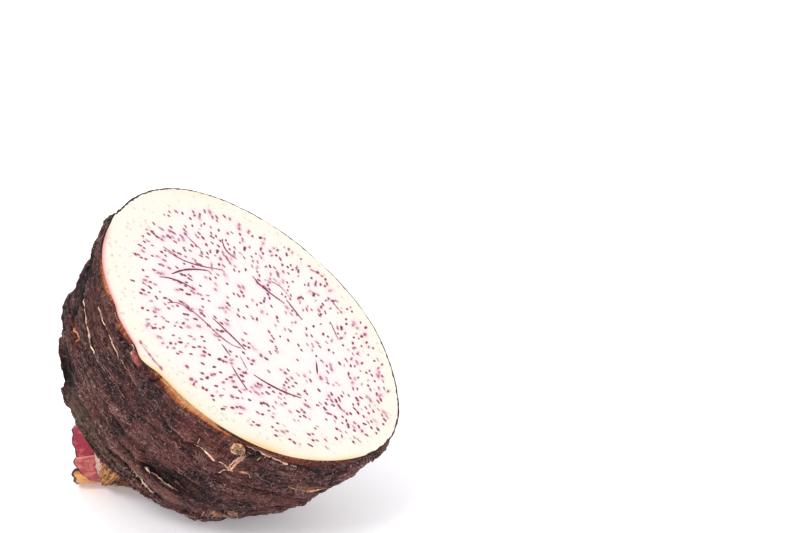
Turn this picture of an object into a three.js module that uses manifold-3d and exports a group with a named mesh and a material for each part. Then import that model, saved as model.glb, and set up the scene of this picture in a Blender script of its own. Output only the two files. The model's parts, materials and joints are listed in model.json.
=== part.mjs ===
// A taro root cut in half across its growth axis: the half that carries the shoot.
// It lies on its bark with the cut face leaning back. Millimetres, +Z up, origin at the bottom centre
// of the bounding box. The corm is one grown body of flesh and bark. The shoot, a stump of leaf
// sheaths cut short, is a second body that stands in the fibrous collar at the corm's apex.
import * as THREE from "three";
import { mergeVertices } from "three/addons/utils/BufferGeometryUtils.js";
import Module from "manifold-3d";

const wasm = await Module();
wasm.setup();

const { PI, sin, cos, hypot, exp, min, max } = Math;
const radians = THREE.MathUtils.degToRad;

// ---- Driving dimensions -----------------------------------------------------------------------

// How the half lies: the cut face looks up and to the front right.
const FACE_LEAN = 39.8; // degrees that the face's outward normal leans away from straight up
const FACE_TURN = 60.2; // degrees that the leaning normal is turned from the front (-Y) towards +X

// The corm, in its own frame: cut face in the plane z = 0, growth axis running down -Z.
const CORM_RADIUS = 56.6; // mean radius of the cut face
const CORM_DEPTH = 83; // from the cut face to the apex
const DOME_SHOULDER = 1.78; // exponent that keeps the side full before the dome closes
const DOME_ROUNDNESS = 2.2; // exponent of the closing curve, 2 for an ellipse
const DOME_PINCH = 0.16; // how far the side draws in behind the cut
const APEX_SHIFT = [2.4, 9.0]; // the apex grew off the axis by this much
const OVAL_AT_FACE = -0.055; // share of the radius
const OVAL_AT_APEX = -0.212;
const SKEW_AT_FACE = -0.01;
const SKEW_AT_APEX = 0.025;

// Leaf scars ring the corm. The bark rises towards the apex and drops at each scar.
const SCAR_DEPTHS = [0, 4.5, 14.5, 23, 33, 43, 52.5, 61, 68.5, 74.5, 79.5, CORM_DEPTH];
const SCAR_STEP = 1.4; // height of the drop
const SCAR_WANDER = 2.6; // how far a scar strays along the axis
const ROWS_IN_SCAR = [0, 0.3, 0.62, 0.92]; // rows of the surface between one scar and the next
const AROUND = 92; // columns of the surface
const FACE_ROWS = 3;

// Low swellings of the whole body: lobes round it, waves along it, height, two phases.
const SWELLINGS = [
  { lobes: 4, waves: 1, height: 0.6, turn: 0.4, slide: 0.3 },
  { lobes: 5, waves: 2, height: 0.5, turn: 2.1, slide: 1.2 },
  { lobes: 7, waves: 3, height: 0.4, turn: 4.4, slide: 2.5 },
];

// Buds and root scars that stand out of the bark: where round, how deep, how wide, how high.
const KNOBS = [
  { angle: 176, depth: 6.5, radius: 5.5, height: 1.6 }, // bud at the rim
  { angle: 217, depth: 5.5, radius: 3.2, height: 1.3 }, // round root scar with a stalk below it
  { angle: 129, depth: 65, radius: 4.2, height: 2.0 },
  { angle: 268, depth: 46, radius: 4.6, height: 1.5 },
  { angle: 35, depth: 30, radius: 6.0, height: 1.7 },
  { angle: 78, depth: 55, radius: 4.8, height: 1.6 },
  { angle: 335, depth: 52, radius: 5.2, height: 1.4 },
];
const RIM_BUD = { angle: 173, width: 5.5, height: 2.6, fade: 6 }; // the knife went through its side

// The shoot: where its axis meets the apex, and its direction, in the corm's frame.
const SHOOT_BASE = new THREE.Vector3(1.2, 8.6, -83.2);
const SHOOT_DIRECTION = new THREE.Vector3(-0.56, 0.55, -0.61);
const SHOOT_LENGTH = 15.2; // from its base to the knife cut
const SHOOT_RADIUS = 10; // the tightly rolled inner sheaths
const SHOOT_ROOT = 3; // how far it stands in its socket below its base
const CLASP_RADIUS = 11.3; // at the base every sheath clasps the whole shoot
const CLASP_HEIGHT = 4;

// Outer leaf sheaths. Angles run from straight up through the front and down, in degrees.
// Each has a margin at either side and ends at one height by the first and another by the second.
const SHEATHS = [
  { outer: 10.8, margins: [112, 250], ends: [17.3, 16.0] },
  { outer: 11.1, margins: [76, 205], ends: [16.0, 10.5] },
  { outer: 10.7, margins: [-135, -22], ends: [13.5, 14.6] },
];
const SHEATH_INNER = 8.5; // under the skin of the core that the sheaths clasp
const SHEATH_AROUND = 20;

// The collar: dry fibrous leaf bases that the shoot stands in, longest at its lower front.
const COLLAR_SUNK = 20; // how far it runs back into the corm
const COLLAR_RADIUS = [12, 13.4, 13, 12.4]; // from its sunk end to its free edge
const COLLAR_REACH = 9; // free edge beyond the shoot's base, where it is longest
const COLLAR_LONGEST_AT = 140; // degrees, counted as for the sheaths
const COLLAR_SPREAD = 74; // degrees to each side in which it dies away

const CLEARANCE = 0.3; // between the shoot and the socket that it stands in
const REST_CUT = 0.8; // height of the body that the flat resting spot takes away

// ---- Shapes and solids ------------------------------------------------------------------------

// A closed geometry as a solid, its doubled vertices merged and its slivers left out.
function solidOf(geometry) {
  const bare = geometry.clone();
  bare.deleteAttribute("normal");
  bare.deleteAttribute("uv");
  const merged = mergeVertices(bare, 1e-4);
  const corners = merged.index.array;
  const kept = [];
  for (let i = 0; i < corners.length; i += 3) {
    const [a, b, c] = corners.subarray(i, i + 3);
    if (a !== b && b !== c && c !== a) kept.push(a, b, c);
  }
  return new wasm.Manifold(
    new wasm.Mesh({
      numProp: 3,
      vertProperties: merged.attributes.position.array,
      triVerts: new Uint32Array(kept),
    }),
  );
}

// A solid back as a geometry.
function geometryOf(solid) {
  const mesh = solid.getMesh();
  const geometry = new THREE.BufferGeometry();
  geometry.setAttribute("position", new THREE.BufferAttribute(mesh.vertProperties, 3));
  geometry.setIndex(new THREE.BufferAttribute(mesh.triVerts, 1));
  geometry.computeVertexNormals();
  return geometry;
}

// Moves every vertex of a geometry to where place(vertex) puts it.
function reshape(geometry, place) {
  const position = geometry.attributes.position;
  const vertex = new THREE.Vector3();
  for (let i = 0; i < position.count; i++) {
    place(vertex.fromBufferAttribute(position, i));
    position.setXYZ(i, vertex.x, vertex.y, vertex.z);
  }
  return geometry;
}

// ---- The corm ---------------------------------------------------------------------------------

// Smallest turn from one angle to another, in radians.
function turnBetween(from, to) {
  const turn = (to - from) % (2 * PI);
  return turn > PI ? turn - 2 * PI : turn < -PI ? turn + 2 * PI : turn;
}

// Radius of the plain dome at share t of its depth.
function domeRadius(angle, t) {
  const oval = OVAL_AT_FACE + (OVAL_AT_APEX - OVAL_AT_FACE) * t;
  const skew = SKEW_AT_FACE + (SKEW_AT_APEX - SKEW_AT_FACE) * t;
  const round = 1 + oval * cos(2 * angle) + skew * sin(2 * angle) - 0.008 * cos(3 * angle);
  const close = max(0, 1 - t ** DOME_SHOULDER) ** (1 / DOME_ROUNDNESS);
  return CORM_RADIUS * round * (close - DOME_PINCH * t * (1 - t) ** 1.5);
}

function swelling(angle, t) {
  const each = (s) => s.height * sin(s.lobes * angle + s.turn) * sin(s.waves * PI * t + s.slide);
  return SWELLINGS.reduce((sum, s) => sum + each(s), 0) * min(1, 6 * (1 - t));
}

// Depth of the surface row at ring count s, which is whole on a leaf scar.
function scarDepth(angle, s) {
  const ring = min(Math.floor(s), SCAR_DEPTHS.length - 2);
  const plain = THREE.MathUtils.lerp(SCAR_DEPTHS[ring], SCAR_DEPTHS[ring + 1], s - ring);
  const t = plain / CORM_DEPTH;
  const stray = 0.6 * sin(2 * angle + 0.9 * s) + 0.4 * sin(3 * angle - 1.7 * s);
  return plain + SCAR_WANDER * stray * sin(PI * t) * min(1, 5 * t);
}

// Height of the bark's shingle at ring count s: it swells up to the scar and drops there.
function scarRelief(angle, s, t) {
  const share = s - Math.floor(s);
  const strength = 0.62 + 0.38 * sin(3 * angle + 2.3 * Math.floor(s));
  return SCAR_STEP * strength * (share ** 1.6 - 0.35) * min(1, 7 * (1 - t));
}

function knobHeight(angle, depth, radius) {
  return KNOBS.reduce((sum, knob) => {
    const aside = radius * turnBetween(radians(knob.angle), angle);
    const distance = hypot(aside, depth - knob.depth) / knob.radius;
    return sum + knob.height * exp(-(distance ** 4));
  }, 0);
}

function rimBudHeight(angle, depth) {
  const aside = turnBetween(radians(RIM_BUD.angle), angle) / radians(RIM_BUD.width);
  return RIM_BUD.height * exp(-(aside ** 2) - (depth / RIM_BUD.fade) ** 2);
}

// The lathe's profile holds the surface's rows as (share of the radius, ring count).
function cormGeometry() {
  const rows = [];
  for (let ring = SCAR_DEPTHS.length - 2; ring >= 0; ring--)
    for (const share of [...ROWS_IN_SCAR].reverse()) rows.push(new THREE.Vector2(1, ring + share));
  const face = [];
  for (let i = FACE_ROWS - 1; i >= 0; i--) face.push(new THREE.Vector2(i / FACE_ROWS, 0));
  const apex = new THREE.Vector2(0, SCAR_DEPTHS.length - 1);
  const lathe = new THREE.LatheGeometry([apex, ...rows, ...face], AROUND);
  return reshape(lathe, (vertex) => {
    const share = hypot(vertex.x, vertex.z);
    const angle = -Math.atan2(vertex.z, vertex.x);
    const s = vertex.y;
    const depth = scarDepth(angle, s);
    const t = min(1, depth / CORM_DEPTH);
    const plain = domeRadius(angle, t);
    const relief = swelling(angle, t) + scarRelief(angle, s, t) + rimBudHeight(angle, depth);
    const radius = share * max(0, plain + relief + knobHeight(angle, depth, plain));
    vertex.set(
      radius * cos(angle) + APEX_SHIFT[0] * t ** 2,
      radius * sin(angle) + APEX_SHIFT[1] * t ** 2,
      -depth,
    );
  });
}

// ---- The shoot and its collar, in the shoot's frame: +Z along the shoot, +Y up, +X to the front --

// A closed sleeve segment: a box bent round the shoot's axis.
// shape(across, along, out), each from 0 to 1, gives the angle, the height and the radius.
function bentBox(across, along, shape) {
  const box = new THREE.BoxGeometry(1, 1, 1, across, along, 1);
  return reshape(box, (vertex) => {
    const [angle, height, radius] = shape(0.5 - vertex.x, vertex.y + 0.5, vertex.z + 0.5);
    vertex.set(radius * sin(angle), radius * cos(angle), height);
  });
}

// A solid of revolution about +Z from (radius, height) pairs, bottom first.
function turned(profile) {
  const points = profile.map(([radius, height]) => new THREE.Vector2(radius, height));
  return new THREE.LatheGeometry(points, SHEATH_AROUND * 2).rotateX(PI / 2);
}

// The innermost sheaths, rolled tight, on the clasping base, with the knife cut across the end.
function shootCore() {
  return turned([
    [0, -SHOOT_ROOT],
    [CLASP_RADIUS, -SHOOT_ROOT],
    [CLASP_RADIUS, CLASP_HEIGHT],
    [SHOOT_RADIUS, CLASP_HEIGHT + 1],
    [SHOOT_RADIUS, SHOOT_LENGTH],
    [0, SHOOT_LENGTH],
  ]);
}

// One leaf sheath: thick in its middle, thin at both margins.
function sheathGeometry({ outer, margins, ends }) {
  return bentBox(SHEATH_AROUND, 5, (across, along, out) => {
    const edge = min(1, 6 * min(across, 1 - across));
    const skin = SHOOT_RADIUS + (outer - SHOOT_RADIUS) * (0.4 + 0.6 * edge);
    const angle = radians(THREE.MathUtils.lerp(margins[0], margins[1], across));
    const end = THREE.MathUtils.lerp(ends[0], ends[1], across ** 1.5);
    const height = THREE.MathUtils.lerp(-SHOOT_ROOT / 2, end, along);
    return [angle, height, out > 0.5 ? skin : SHEATH_INNER];
  });
}

function shootSolid() {
  const sheaths = SHEATHS.map((sheath) => solidOf(sheathGeometry(sheath)));
  return sheaths.reduce((all, sheath) => all.add(sheath), solidOf(shootCore()));
}

// The room that the shoot needs in the corm and its collar.
function socketGeometry() {
  const radius = CLASP_RADIUS + CLEARANCE;
  const deep = -SHOOT_ROOT - CLEARANCE;
  const high = SHOOT_LENGTH + 4;
  return turned([
    [0, deep],
    [radius, deep],
    [radius, high],
    [0, high],
  ]);
}

// The collar's free edge is ragged and dies away from the side where it is longest.
function collarGeometry() {
  const last = COLLAR_RADIUS.length - 1;
  const wall = COLLAR_RADIUS.map((radius, i) => [radius, i / last]);
  return reshape(turned([[0, 0], ...wall, [0, 1]]), (vertex) => {
    const angle = Math.atan2(vertex.x, vertex.y);
    const aside = turnBetween(radians(COLLAR_LONGEST_AT), angle) / radians(COLLAR_SPREAD);
    const ragged = 0.7 * sin(9 * angle) + 0.5 * sin(16 * angle + 1);
    const reach = (COLLAR_REACH + ragged) * exp(-(aside ** 4));
    const ribs = 1 + 0.015 * sin(7 * angle) + 0.01 * sin(12 * angle + 2);
    const height = THREE.MathUtils.lerp(-COLLAR_SUNK, reach, vertex.z);
    vertex.set(vertex.x * ribs, vertex.y * ribs, height);
  });
}

// ---- Putting it together ----------------------------------------------------------------------

// The corm's frame as the half lies: it leans about X, then turns about Z.
const lying = new THREE.Group();
lying.rotation.set(radians(FACE_LEAN), 0, radians(FACE_TURN), "ZYX");
lying.updateMatrix();

// The shoot's frame inside the corm's: +Z along the shoot and +Y as near to straight up as it can be.
const straightUp = new THREE.Vector3(0, 0, 1).applyQuaternion(lying.quaternion.clone().invert());
const shootFrame = new THREE.Group();
shootFrame.position.copy(SHOOT_BASE);
shootFrame.quaternion.setFromRotationMatrix(
  new THREE.Matrix4().lookAt(SHOOT_DIRECTION, new THREE.Vector3(), straightUp),
);
shootFrame.updateMatrix();

// The half space below the resting plane, as a box in the corm's frame.
function belowRest(geometry) {
  const laid = geometry.clone().applyMatrix4(lying.matrix);
  laid.computeBoundingBox();
  const size = 4 * CORM_DEPTH;
  const box = new THREE.BoxGeometry(size, size, size);
  box.translate(0, 0, laid.boundingBox.min.z + REST_CUT - size / 2);
  return box.applyMatrix4(lying.matrix.clone().invert());
}

function cormSolid() {
  const body = cormGeometry();
  const collar = collarGeometry().applyMatrix4(shootFrame.matrix);
  const socket = socketGeometry().applyMatrix4(shootFrame.matrix);
  return solidOf(body)
    .add(solidOf(collar))
    .subtract(solidOf(socket))
    .subtract(solidOf(belowRest(body)));
}

const bark = new THREE.MeshStandardMaterial({ color: 0x5e4343, roughness: 0.85, metalness: 0 });
const sheathSkin = new THREE.MeshStandardMaterial({ color: 0xb4525c, roughness: 0.45, metalness: 0 });

const corm = new THREE.Mesh(geometryOf(cormSolid()), bark);
corm.name = "corm";

const shoot = new THREE.Mesh(geometryOf(shootSolid()), sheathSkin);
shoot.name = "shoot";

shootFrame.add(shoot);
lying.add(corm, shootFrame);

// The row frame: the lying half moved until its bounding box stands on z = 0, centred over the origin.
const half = new THREE.Group();
half.add(lying);
half.updateMatrixWorld(true);
const bounds = new THREE.Box3().setFromObject(half, true);
const centre = bounds.getCenter(new THREE.Vector3());
lying.position.set(-centre.x, -centre.y, -bounds.min.z);

export default half;
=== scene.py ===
import json
import math
import random
from itertools import product

import bpy
import numpy as np
from mathutils import Matrix, Vector, noise
from mathutils.bvhtree import BVHTree
from mathutils.geometry import delaunay_2d_cdt


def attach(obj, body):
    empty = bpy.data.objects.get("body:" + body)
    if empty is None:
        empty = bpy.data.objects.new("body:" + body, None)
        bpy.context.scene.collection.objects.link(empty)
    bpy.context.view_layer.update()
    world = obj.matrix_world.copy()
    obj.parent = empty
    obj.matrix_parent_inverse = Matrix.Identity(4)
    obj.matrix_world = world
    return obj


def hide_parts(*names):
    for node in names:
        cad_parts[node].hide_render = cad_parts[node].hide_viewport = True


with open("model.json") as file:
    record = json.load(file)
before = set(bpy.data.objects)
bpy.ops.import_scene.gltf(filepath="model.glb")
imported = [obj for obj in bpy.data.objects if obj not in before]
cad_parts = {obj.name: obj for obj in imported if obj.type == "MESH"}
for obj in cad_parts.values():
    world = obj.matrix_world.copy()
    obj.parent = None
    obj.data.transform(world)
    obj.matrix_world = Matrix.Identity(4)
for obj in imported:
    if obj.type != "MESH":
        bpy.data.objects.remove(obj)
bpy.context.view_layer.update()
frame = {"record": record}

# ---- The corm's bark -------------------------------------------------------------------------
# A taro corm is a swollen stem base, grown as one body. Its skin is thin corky bark, ringed by the
# scars of fallen leaves and felted with their dry fibres. A knife has cut the corm straight across.

# Lengths are in millimetres in the corm's own frame: cut face at z = 0, growth axis down -z.
MILLIMETRE = 0.001
BARK_RADIUS = 56.6
BARK_DEPTH = 83.0
SCAR_DEPTHS = np.array([0, 4.5, 14.5, 23, 33, 43, 52.5, 61, 68.5, 74.5, 79.5, BARK_DEPTH])
SCARS = len(SCAR_DEPTHS) - 1
APEX_SHIFT = (2.4, 9.0)  # how far the growth axis leans by the time it reaches the apex
APEX_CURVE = 1.78  # how late the corm closes in towards its apex
AROUND = 560
ROWS_A_SCAR = 15
SOFT_EDGE = math.radians(50)  # faces that meet flatter than this are shaded smooth
BARK_EDGE = 0.55  # thickness of the bark where the knife went through it
FLESH_RECESS = 1.2  # how deep the seat of the flesh lies under the cut
SWELLINGS = (  # lobes round, waves down, height, turn and slide
    (4, 1, 0.6, 0.4, 0.3),
    (5, 2, 0.5, 2.1, 1.2),
    (7, 3, 0.4, 4.4, 2.5),
)
KNOBS = (  # angle, depth, radius and height
    (176, 6.5, 5.5, 1.6),
    (217, 5.5, 3.2, 1.3),
    (135, 66, 3.8, 2.6),
    (268, 46, 4.6, 1.5),
    (35, 30, 6.0, 1.7),
    (78, 55, 4.8, 1.6),
    (335, 52, 5.2, 1.4),
    (160, 0.5, 7.0, 1.4),
    (108, 6, 5.5, 1.7),
)
RIM_BUD = (173, 5.5, 2.6, 6)  # the bud that the knife cut: angle, width in degrees, height, depth
STRAPS = (  # old leaf bases that stand proud as bands: route as (angle, depth), half width, height
    (((178, 47.2), (190, 48.6), (197, 49.2), (205, 49.4), (212, 50), (220, 51), (232, 51.5)),
     2.6, 1.1),
    (((150, 30), (162, 31), (172, 33), (180, 32)), 2.4, 0.6),
    (((232, 27), (246, 27.5), (258, 30), (270, 29)), 2.8, 0.7),
    (((20, 40), (40, 43), (66, 41)), 3.2, 1.0),
    (((282, 47), (300, 50), (322, 49)), 3.4, 1.0),
    (((80, 30), (98, 32), (118, 30)), 3.0, 0.8),
)
HOLLOWS = (  # angle, depth, half sizes in degrees and millimetres, how deep
    (213, 41, 16, 5.0, 1.9),
    (178, 40, 7, 4.5, 0.9),
    (191, 38, 6, 3.0, 0.6),
    (193, 15, 6, 3.0, 0.7),
    (128, 55, 13, 9, 2.2),
    (120, 18, 9, 8, 1.8),
    (108, 28, 10, 9, 2.3),
    (122, 66, 6, 5, 1.2),
    (196, 71, 24, 8, 3.3),
    (60, 52, 14, 4, 1.1),
    (310, 38, 16, 4, 1.2),
)
MILLIMETRES_A_DEGREE = 0.8  # around the bark, about half way down
ORANGE_PATCHES = (  # bare cork where the bark is rubbed: how strong, angle, depth, half sizes
    (1.4, 189, -0.6, 10, 3.9),
    (1.15, 204, 0.5, 11, 1.6),
    (1.0, 141, -0.3, 10, 1.5),
    (0.8, 161.5, 0.3, 5, 2.0),
    (0.8, 226.5, 15.5, 4, 1.5),
    (0.7, 253, 17.2, 6, 1.7),
    (0.6, 135, 33, 4, 2.2),
    (0.42, 240, 0, 24, 3.2),
    (0.13, 145, 12, 14, 18),
    (0.16, 210, 11, 14, 8),
)
PAINTED_SHADE_PATCHES = (  # painted shade in recesses of the bark, in the same order
    (1.15, 212, 0.2, 11, 0.75),
    (0.4, 128, 38, 20, 32),
    (0.3, 142, 12, 18, 14),
    (0.5, 221, 36.5, 6, 1.8),
    (0.45, 229, 38.5, 4, 2.2),
    (1.2, 176.3, 1.3, 1.7, 1.3),
    (0.9, 240, 44.5, 5, 1.5),
)
OLIVE_PATCHES = ((0.75, 152, 58, 11, 6),)
BUD_STAIN = (172.3, 1.5, 3.2, 2.0)  # the red skin of the cut bud: angle, depth, half sizes
SPLIT_REACH = 1.1  # how far the bark sinks beside a torn edge
STRAP_SHADOW = ((202, 45.4), (210, 46), (217, 45.9), (224, 44.4), (232, 42))  # angle, depth
# Painted shade along the crease beside the cut bud: angle, depth.
BUD_CREASE_SHADE = ((178.6, 5.0), (180.6, 3.6), (181.6, 1.9), (182.0, 0.2))
TORN_EDGES = (  # splits in the bark: route as (angle, depth), width and how cream the torn lip is
    (((123, 23.4), (127, 22.2), (131.2, 21.3), (140.8, 22.2), (148.4, 23), (154, 25.7),
      (161, 24.7)), 0.95, 0.9),
    (((161, 24.7), (165.6, 24.7), (170.2, 24), (174, 25)), 0.45, 0.3),
    (((141.8, 9.2), (146.6, 9.1), (151, 10.5), (157, 10.7), (163.2, 13.4)), 1.0, 0.85),
    (((163.2, 13.4), (166.4, 13.4), (170.5, 14.9), (174, 17)), 0.45, 0.35),
    (((128.4, 35.9), (133.6, 32.9), (137.3, 32.5), (137, 36.4)), 1.1, 0.3),
    (((197.5, 54.9), (203, 55.7), (208.7, 56.9), (214, 58.1), (219.5, 59.5)), 0.9, 0.95),
    (((202, 46.8), (204, 46.9), (206, 47.2)), 0.9, 0.75),
    (((206, 46.9), (211, 47.2), (217, 47.5), (222, 47.4)), 0.6, 0.5),
    (((203.7, 16), (206.5, 13.2), (208.8, 13.8), (213, 15.5), (216, 13.9), (220.2, 16.1),
      (222, 17.2)), 0.95, 0.75),
    (((205.5, 10.6), (206.7, 13)), 0.5, 0.6),
    (((222.4, 17.4), (221.1, 19.3), (220.3, 21.3)), 0.6, 0.6),
    (((224.8, 16.3), (226.9, 15.2), (229.7, 16.5), (231.5, 18.5)), 0.8, 0.45),
    (((218.8, 2.0), (222.4, 2.3), (225.4, 2.9), (227.7, 2.6), (235.5, 3.8), (239.5, 4.2)),
     0.6, 0.6),
    (((226.8, 7.6), (226.6, 5.1), (227.4, 3.2)), 0.7, 0.6),
    (((242.6, 5.2), (246.8, 6)), 0.7, 0.6),
    (((246.5, 17.8), (250, 19), (253.4, 19.6), (261, 20.3), (269, 20)), 1.2, 0.55),
    (((167.6, 1.6), (168.6, 3.8), (171, 4.7), (174.6, 4.3)), 1.0, 0.75),
    (((12, 30), (24, 31), (37, 29.5)), 0.7, 0.6),
    (((70, 46), (84, 47.5), (96, 46.5)), 0.7, 0.6),
    (((288, 26), (300, 27.5), (318, 26)), 0.8, 0.6),
)


def turn_between(start, end):
    """The turn from one angle to another, the short way round."""
    return (end - start + math.pi) % (2 * math.pi) - math.pi


def unit(values):
    """Values held between 0 and 1."""
    return np.clip(values, 0, 1)


def scar_depth(angle, s):
    """Depth below the cut of the bark at scar count s, whole on a scar."""
    plain = np.interp(s, np.arange(SCARS + 1), SCAR_DEPTHS)
    t = plain / BARK_DEPTH
    stray = 0.6 * np.sin(2 * angle + 0.9 * s) + 0.4 * np.sin(3 * angle - 1.7 * s)
    return plain + 2.6 * stray * np.sin(math.pi * t) * np.minimum(1, 5 * t)


def plain_radius(angle, t):
    """Radius of the corm without its scars, at share t of its depth."""
    oval = -0.055 - 0.157 * t
    skew = -0.01 + 0.035 * t
    spread = 1 + oval * np.cos(2 * angle) + skew * np.sin(2 * angle) - 0.008 * np.cos(3 * angle)
    close = np.maximum(0, 1 - t**APEX_CURVE) ** (1 / 2.2)
    return BARK_RADIUS * spread * (close - 0.16 * t * np.maximum(0, 1 - t) ** 1.5)


def bark_points(angle, s):
    """The bark's surface at an angle and a scar count, with shingled scars, swellings and knobs."""
    depth = scar_depth(angle, s)
    t = np.minimum(1, depth / BARK_DEPTH)
    radius = plain_radius(angle, t)
    fade = np.minimum(1, 6 * (1 - t))
    relief = 0 * angle
    for lobes, waves, height, turn, slide in SWELLINGS:
        relief += height * np.sin(lobes * angle + turn) * np.sin(waves * math.pi * t + slide) * fade
    ring = np.minimum(np.floor(s + 1e-6), SCARS - 1)
    share = unit(s - ring)
    strength = 0.62 + 0.38 * np.sin(3 * angle + 2.3 * ring)
    ledge = 1.75 + 1.3 * unit((depth - 26) / 12)
    relief += ledge * strength * (share**3 - 0.25) * np.minimum(1, 7 * (1 - t))
    for at, deep, wide, high in KNOBS:
        aside = radius * turn_between(math.radians(at), angle)
        relief += high * np.exp(-((np.hypot(aside, depth - deep) / wide) ** 4))
    bud_at, bud_wide, bud_high, bud_fade = RIM_BUD
    aside = turn_between(math.radians(bud_at), angle) / math.radians(bud_wide)
    relief += bud_high * np.exp(-(aside**2) - (depth / bud_fade) ** 2)
    radius = np.maximum(0, radius + relief)
    x = radius * np.cos(angle) + APEX_SHIFT[0] * t**2
    y = radius * np.sin(angle) + APEX_SHIFT[1] * t**2
    return np.column_stack([x, y, -depth])


cut_mount = next(m for m in frame["record"]["mounts"] if m["name"] == "cut_face")
face_normal = Vector(cut_mount["axis"]).normalized()
face_across = Vector((-face_normal.y, face_normal.x, 0)).normalized()
face_upslope = face_normal.cross(face_across)
corm_turn = Matrix((face_across, face_upslope, face_normal)).transposed().to_4x4()
corm_place = Matrix.Translation(cut_mount["pos_m"]) @ corm_turn @ Matrix.Scale(MILLIMETRE, 4)


def deselect_all():
    bpy.ops.object.select_all(action="DESELECT")


def name_piece(name):
    piece = bpy.context.object
    piece.name = name
    piece.data.name = name
    return piece


def mesh_points(piece):
    flat = np.empty(3 * len(piece.data.vertices))
    piece.data.vertices.foreach_get("co", flat)
    return flat.reshape(-1, 3)


def move_points(piece, points):
    piece.data.vertices.foreach_set("co", np.ascontiguousarray(points).ravel())
    piece.data.update()


def point_normals(piece):
    flat = np.empty(3 * len(piece.data.vertices))
    piece.data.vertex_normals.foreach_get("vector", flat)
    return flat.reshape(-1, 3)


def keep(piece, **layers):
    """Stores values at every point of a piece, for its material to read."""
    for name, values in layers.items():
        values = np.broadcast_to(values, np.shape(values) or len(piece.data.vertices))
        kind, field = ("FLOAT_VECTOR", "vector") if values.ndim == 2 else ("FLOAT", "value")
        layer = piece.data.attributes.new(name, kind, "POINT")
        layer.data.foreach_set(field, np.ascontiguousarray(values, dtype=np.float32).ravel())


lattice = np.random.default_rng(17).normal(size=(4093, 3))
lattice /= np.linalg.norm(lattice, axis=1)[:, None]


def noise_at(points, scale):
    """Soft noise, about -1 to 1, at every point, on a grid stretched by the three scales."""
    grid = points * np.array(scale)
    cell = np.floor(grid).astype(int)
    within = grid - cell
    ease = within**3 * (within * (within * 6 - 15) + 10)
    total = np.zeros(len(grid))
    for corner in product((0, 1), repeat=3):
        weight = np.where(corner, ease, 1 - ease).prod(axis=1)
        slope = lattice[(cell + corner) @ np.array([1, 57, 3251]) % len(lattice)]
        total += weight * ((within - corner) * slope).sum(axis=1)
    return total * 1.6


def falloff(gap, reach):
    """1 where there is no gap, and falling away softly as it grows past its reach."""
    return np.exp(-((gap / reach) ** 2))


def grid_piece(name, across, up):
    """A new flat piece, and how far across and up it each point is, from 0 to 1."""
    deselect_all()
    bpy.ops.mesh.primitive_grid_add(x_subdivisions=across, y_subdivisions=up, size=1)
    piece = name_piece(name)
    return piece, *(mesh_points(piece).T[:2] + 0.5)


def face_outwards(smooth=False):
    bpy.ops.object.mode_set(mode="EDIT")
    bpy.ops.mesh.select_all(action="SELECT")
    bpy.ops.mesh.normals_make_consistent(inside=False)
    bpy.ops.object.mode_set(mode="OBJECT")
    if smooth:
        bpy.ops.object.shade_smooth_by_angle(angle=SOFT_EDGE)


def lay_in_frame(piece, material, place=corm_place, node="corm"):
    """Gives a finished piece its look and lays it where it belongs, flat where the half rests on
    the floor. Its object stays at the origin."""
    piece.data.materials.append(material)
    piece.data.transform(place)
    laid = mesh_points(piece)
    laid[:, 2] = np.maximum(laid[:, 2], 0)
    move_points(piece, laid)
    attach(piece, "root")
    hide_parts(node)


bark, across, up = grid_piece("corm_bark", AROUND, SCARS * ROWS_A_SCAR)
turn_round = 2 * math.pi * (across - 0.5)
dip = (1 - up) * math.pi / 2
half_ball = (np.cos(dip) * np.cos(turn_round), np.cos(dip) * np.sin(turn_round), -np.sin(dip))
move_points(bark, np.column_stack(half_ball))
bpy.ops.object.mode_set(mode="EDIT")
bpy.ops.mesh.select_all(action="SELECT")
bpy.ops.mesh.remove_doubles(threshold=1e-5)  # closes the seam and the apex
bpy.ops.object.mode_set(mode="OBJECT")
on_ball = mesh_points(bark)
bark_angle = np.arctan2(on_ball[:, 1], on_ball[:, 0])
bark_scar = SCARS * np.arcsin(unit(-on_ball[:, 2])) / (math.pi / 2)
move_points(bark, bark_points(bark_angle, bark_scar))


def grain_of(points, angle):
    """Where each point is in the grain: round the corm, and down it with a slow waver."""
    around = np.column_stack([np.cos(angle), np.sin(angle)]) * BARK_RADIUS
    return np.column_stack([around, -points[:, 2] + 1.2 * noise_at(points, 0.11)])


def axial_share(grain, depth):
    """1 where the fibres run down the axis, as by the cut, and 0 where they follow the scars."""
    return unit(0.5 + 1.6 * noise_at(grain + 7, (0.05, 0.05, 0.07)) + (9 - depth) / 9)


def patch(angle, depth, at, deep, wide_angle, wide_depth):
    """A soft patch on the bark, 1 at its middle."""
    aside = turn_between(math.radians(at), angle) / math.radians(wide_angle)
    return np.exp(-((aside**2 + ((depth - deep) / wide_depth) ** 2) ** 1.5))


# The weathered relief: lumps, wrinkles that follow the scars, and fibres that run down the axis.
on_bark = mesh_points(bark)
bark_depth = -on_bark[:, 2]
grain = grain_of(on_bark, bark_angle)
lumps = noise_at(on_bark, 0.09) * 0.6 + noise_at(on_bark, 0.3) * 0.4
wrinkles = noise_at(grain, (0.06, 0.06, 0.32)) * 0.55 + noise_at(grain, (0.14, 0.14, 0.8)) * 0.42
axial = axial_share(grain, bark_depth)
fibres = (0.5 - np.abs(noise_at(grain, (0.42, 0.42, 0.06)))) * 0.75 * axial
fibres += (0.5 - np.abs(noise_at(grain, (0.8, 0.8, 0.2)))) * 0.3
fibres += (0.5 - np.abs(noise_at(grain + 19, (0.09, 0.09, 0.6)))) * 0.8 * (1 - axial)
rim_calm = np.clip(bark_depth / 2.5, 0.25, 1)
apex_calm = unit((BARK_DEPTH - bark_depth) / 6)
furrows = -0.55 * falloff(noise_at(grain, (0.045, 0.045, 0.3)), 0.09)
furrows -= 0.4 * falloff(noise_at(grain + 31, (0.06, 0.06, 0.55)), 0.1)
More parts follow.
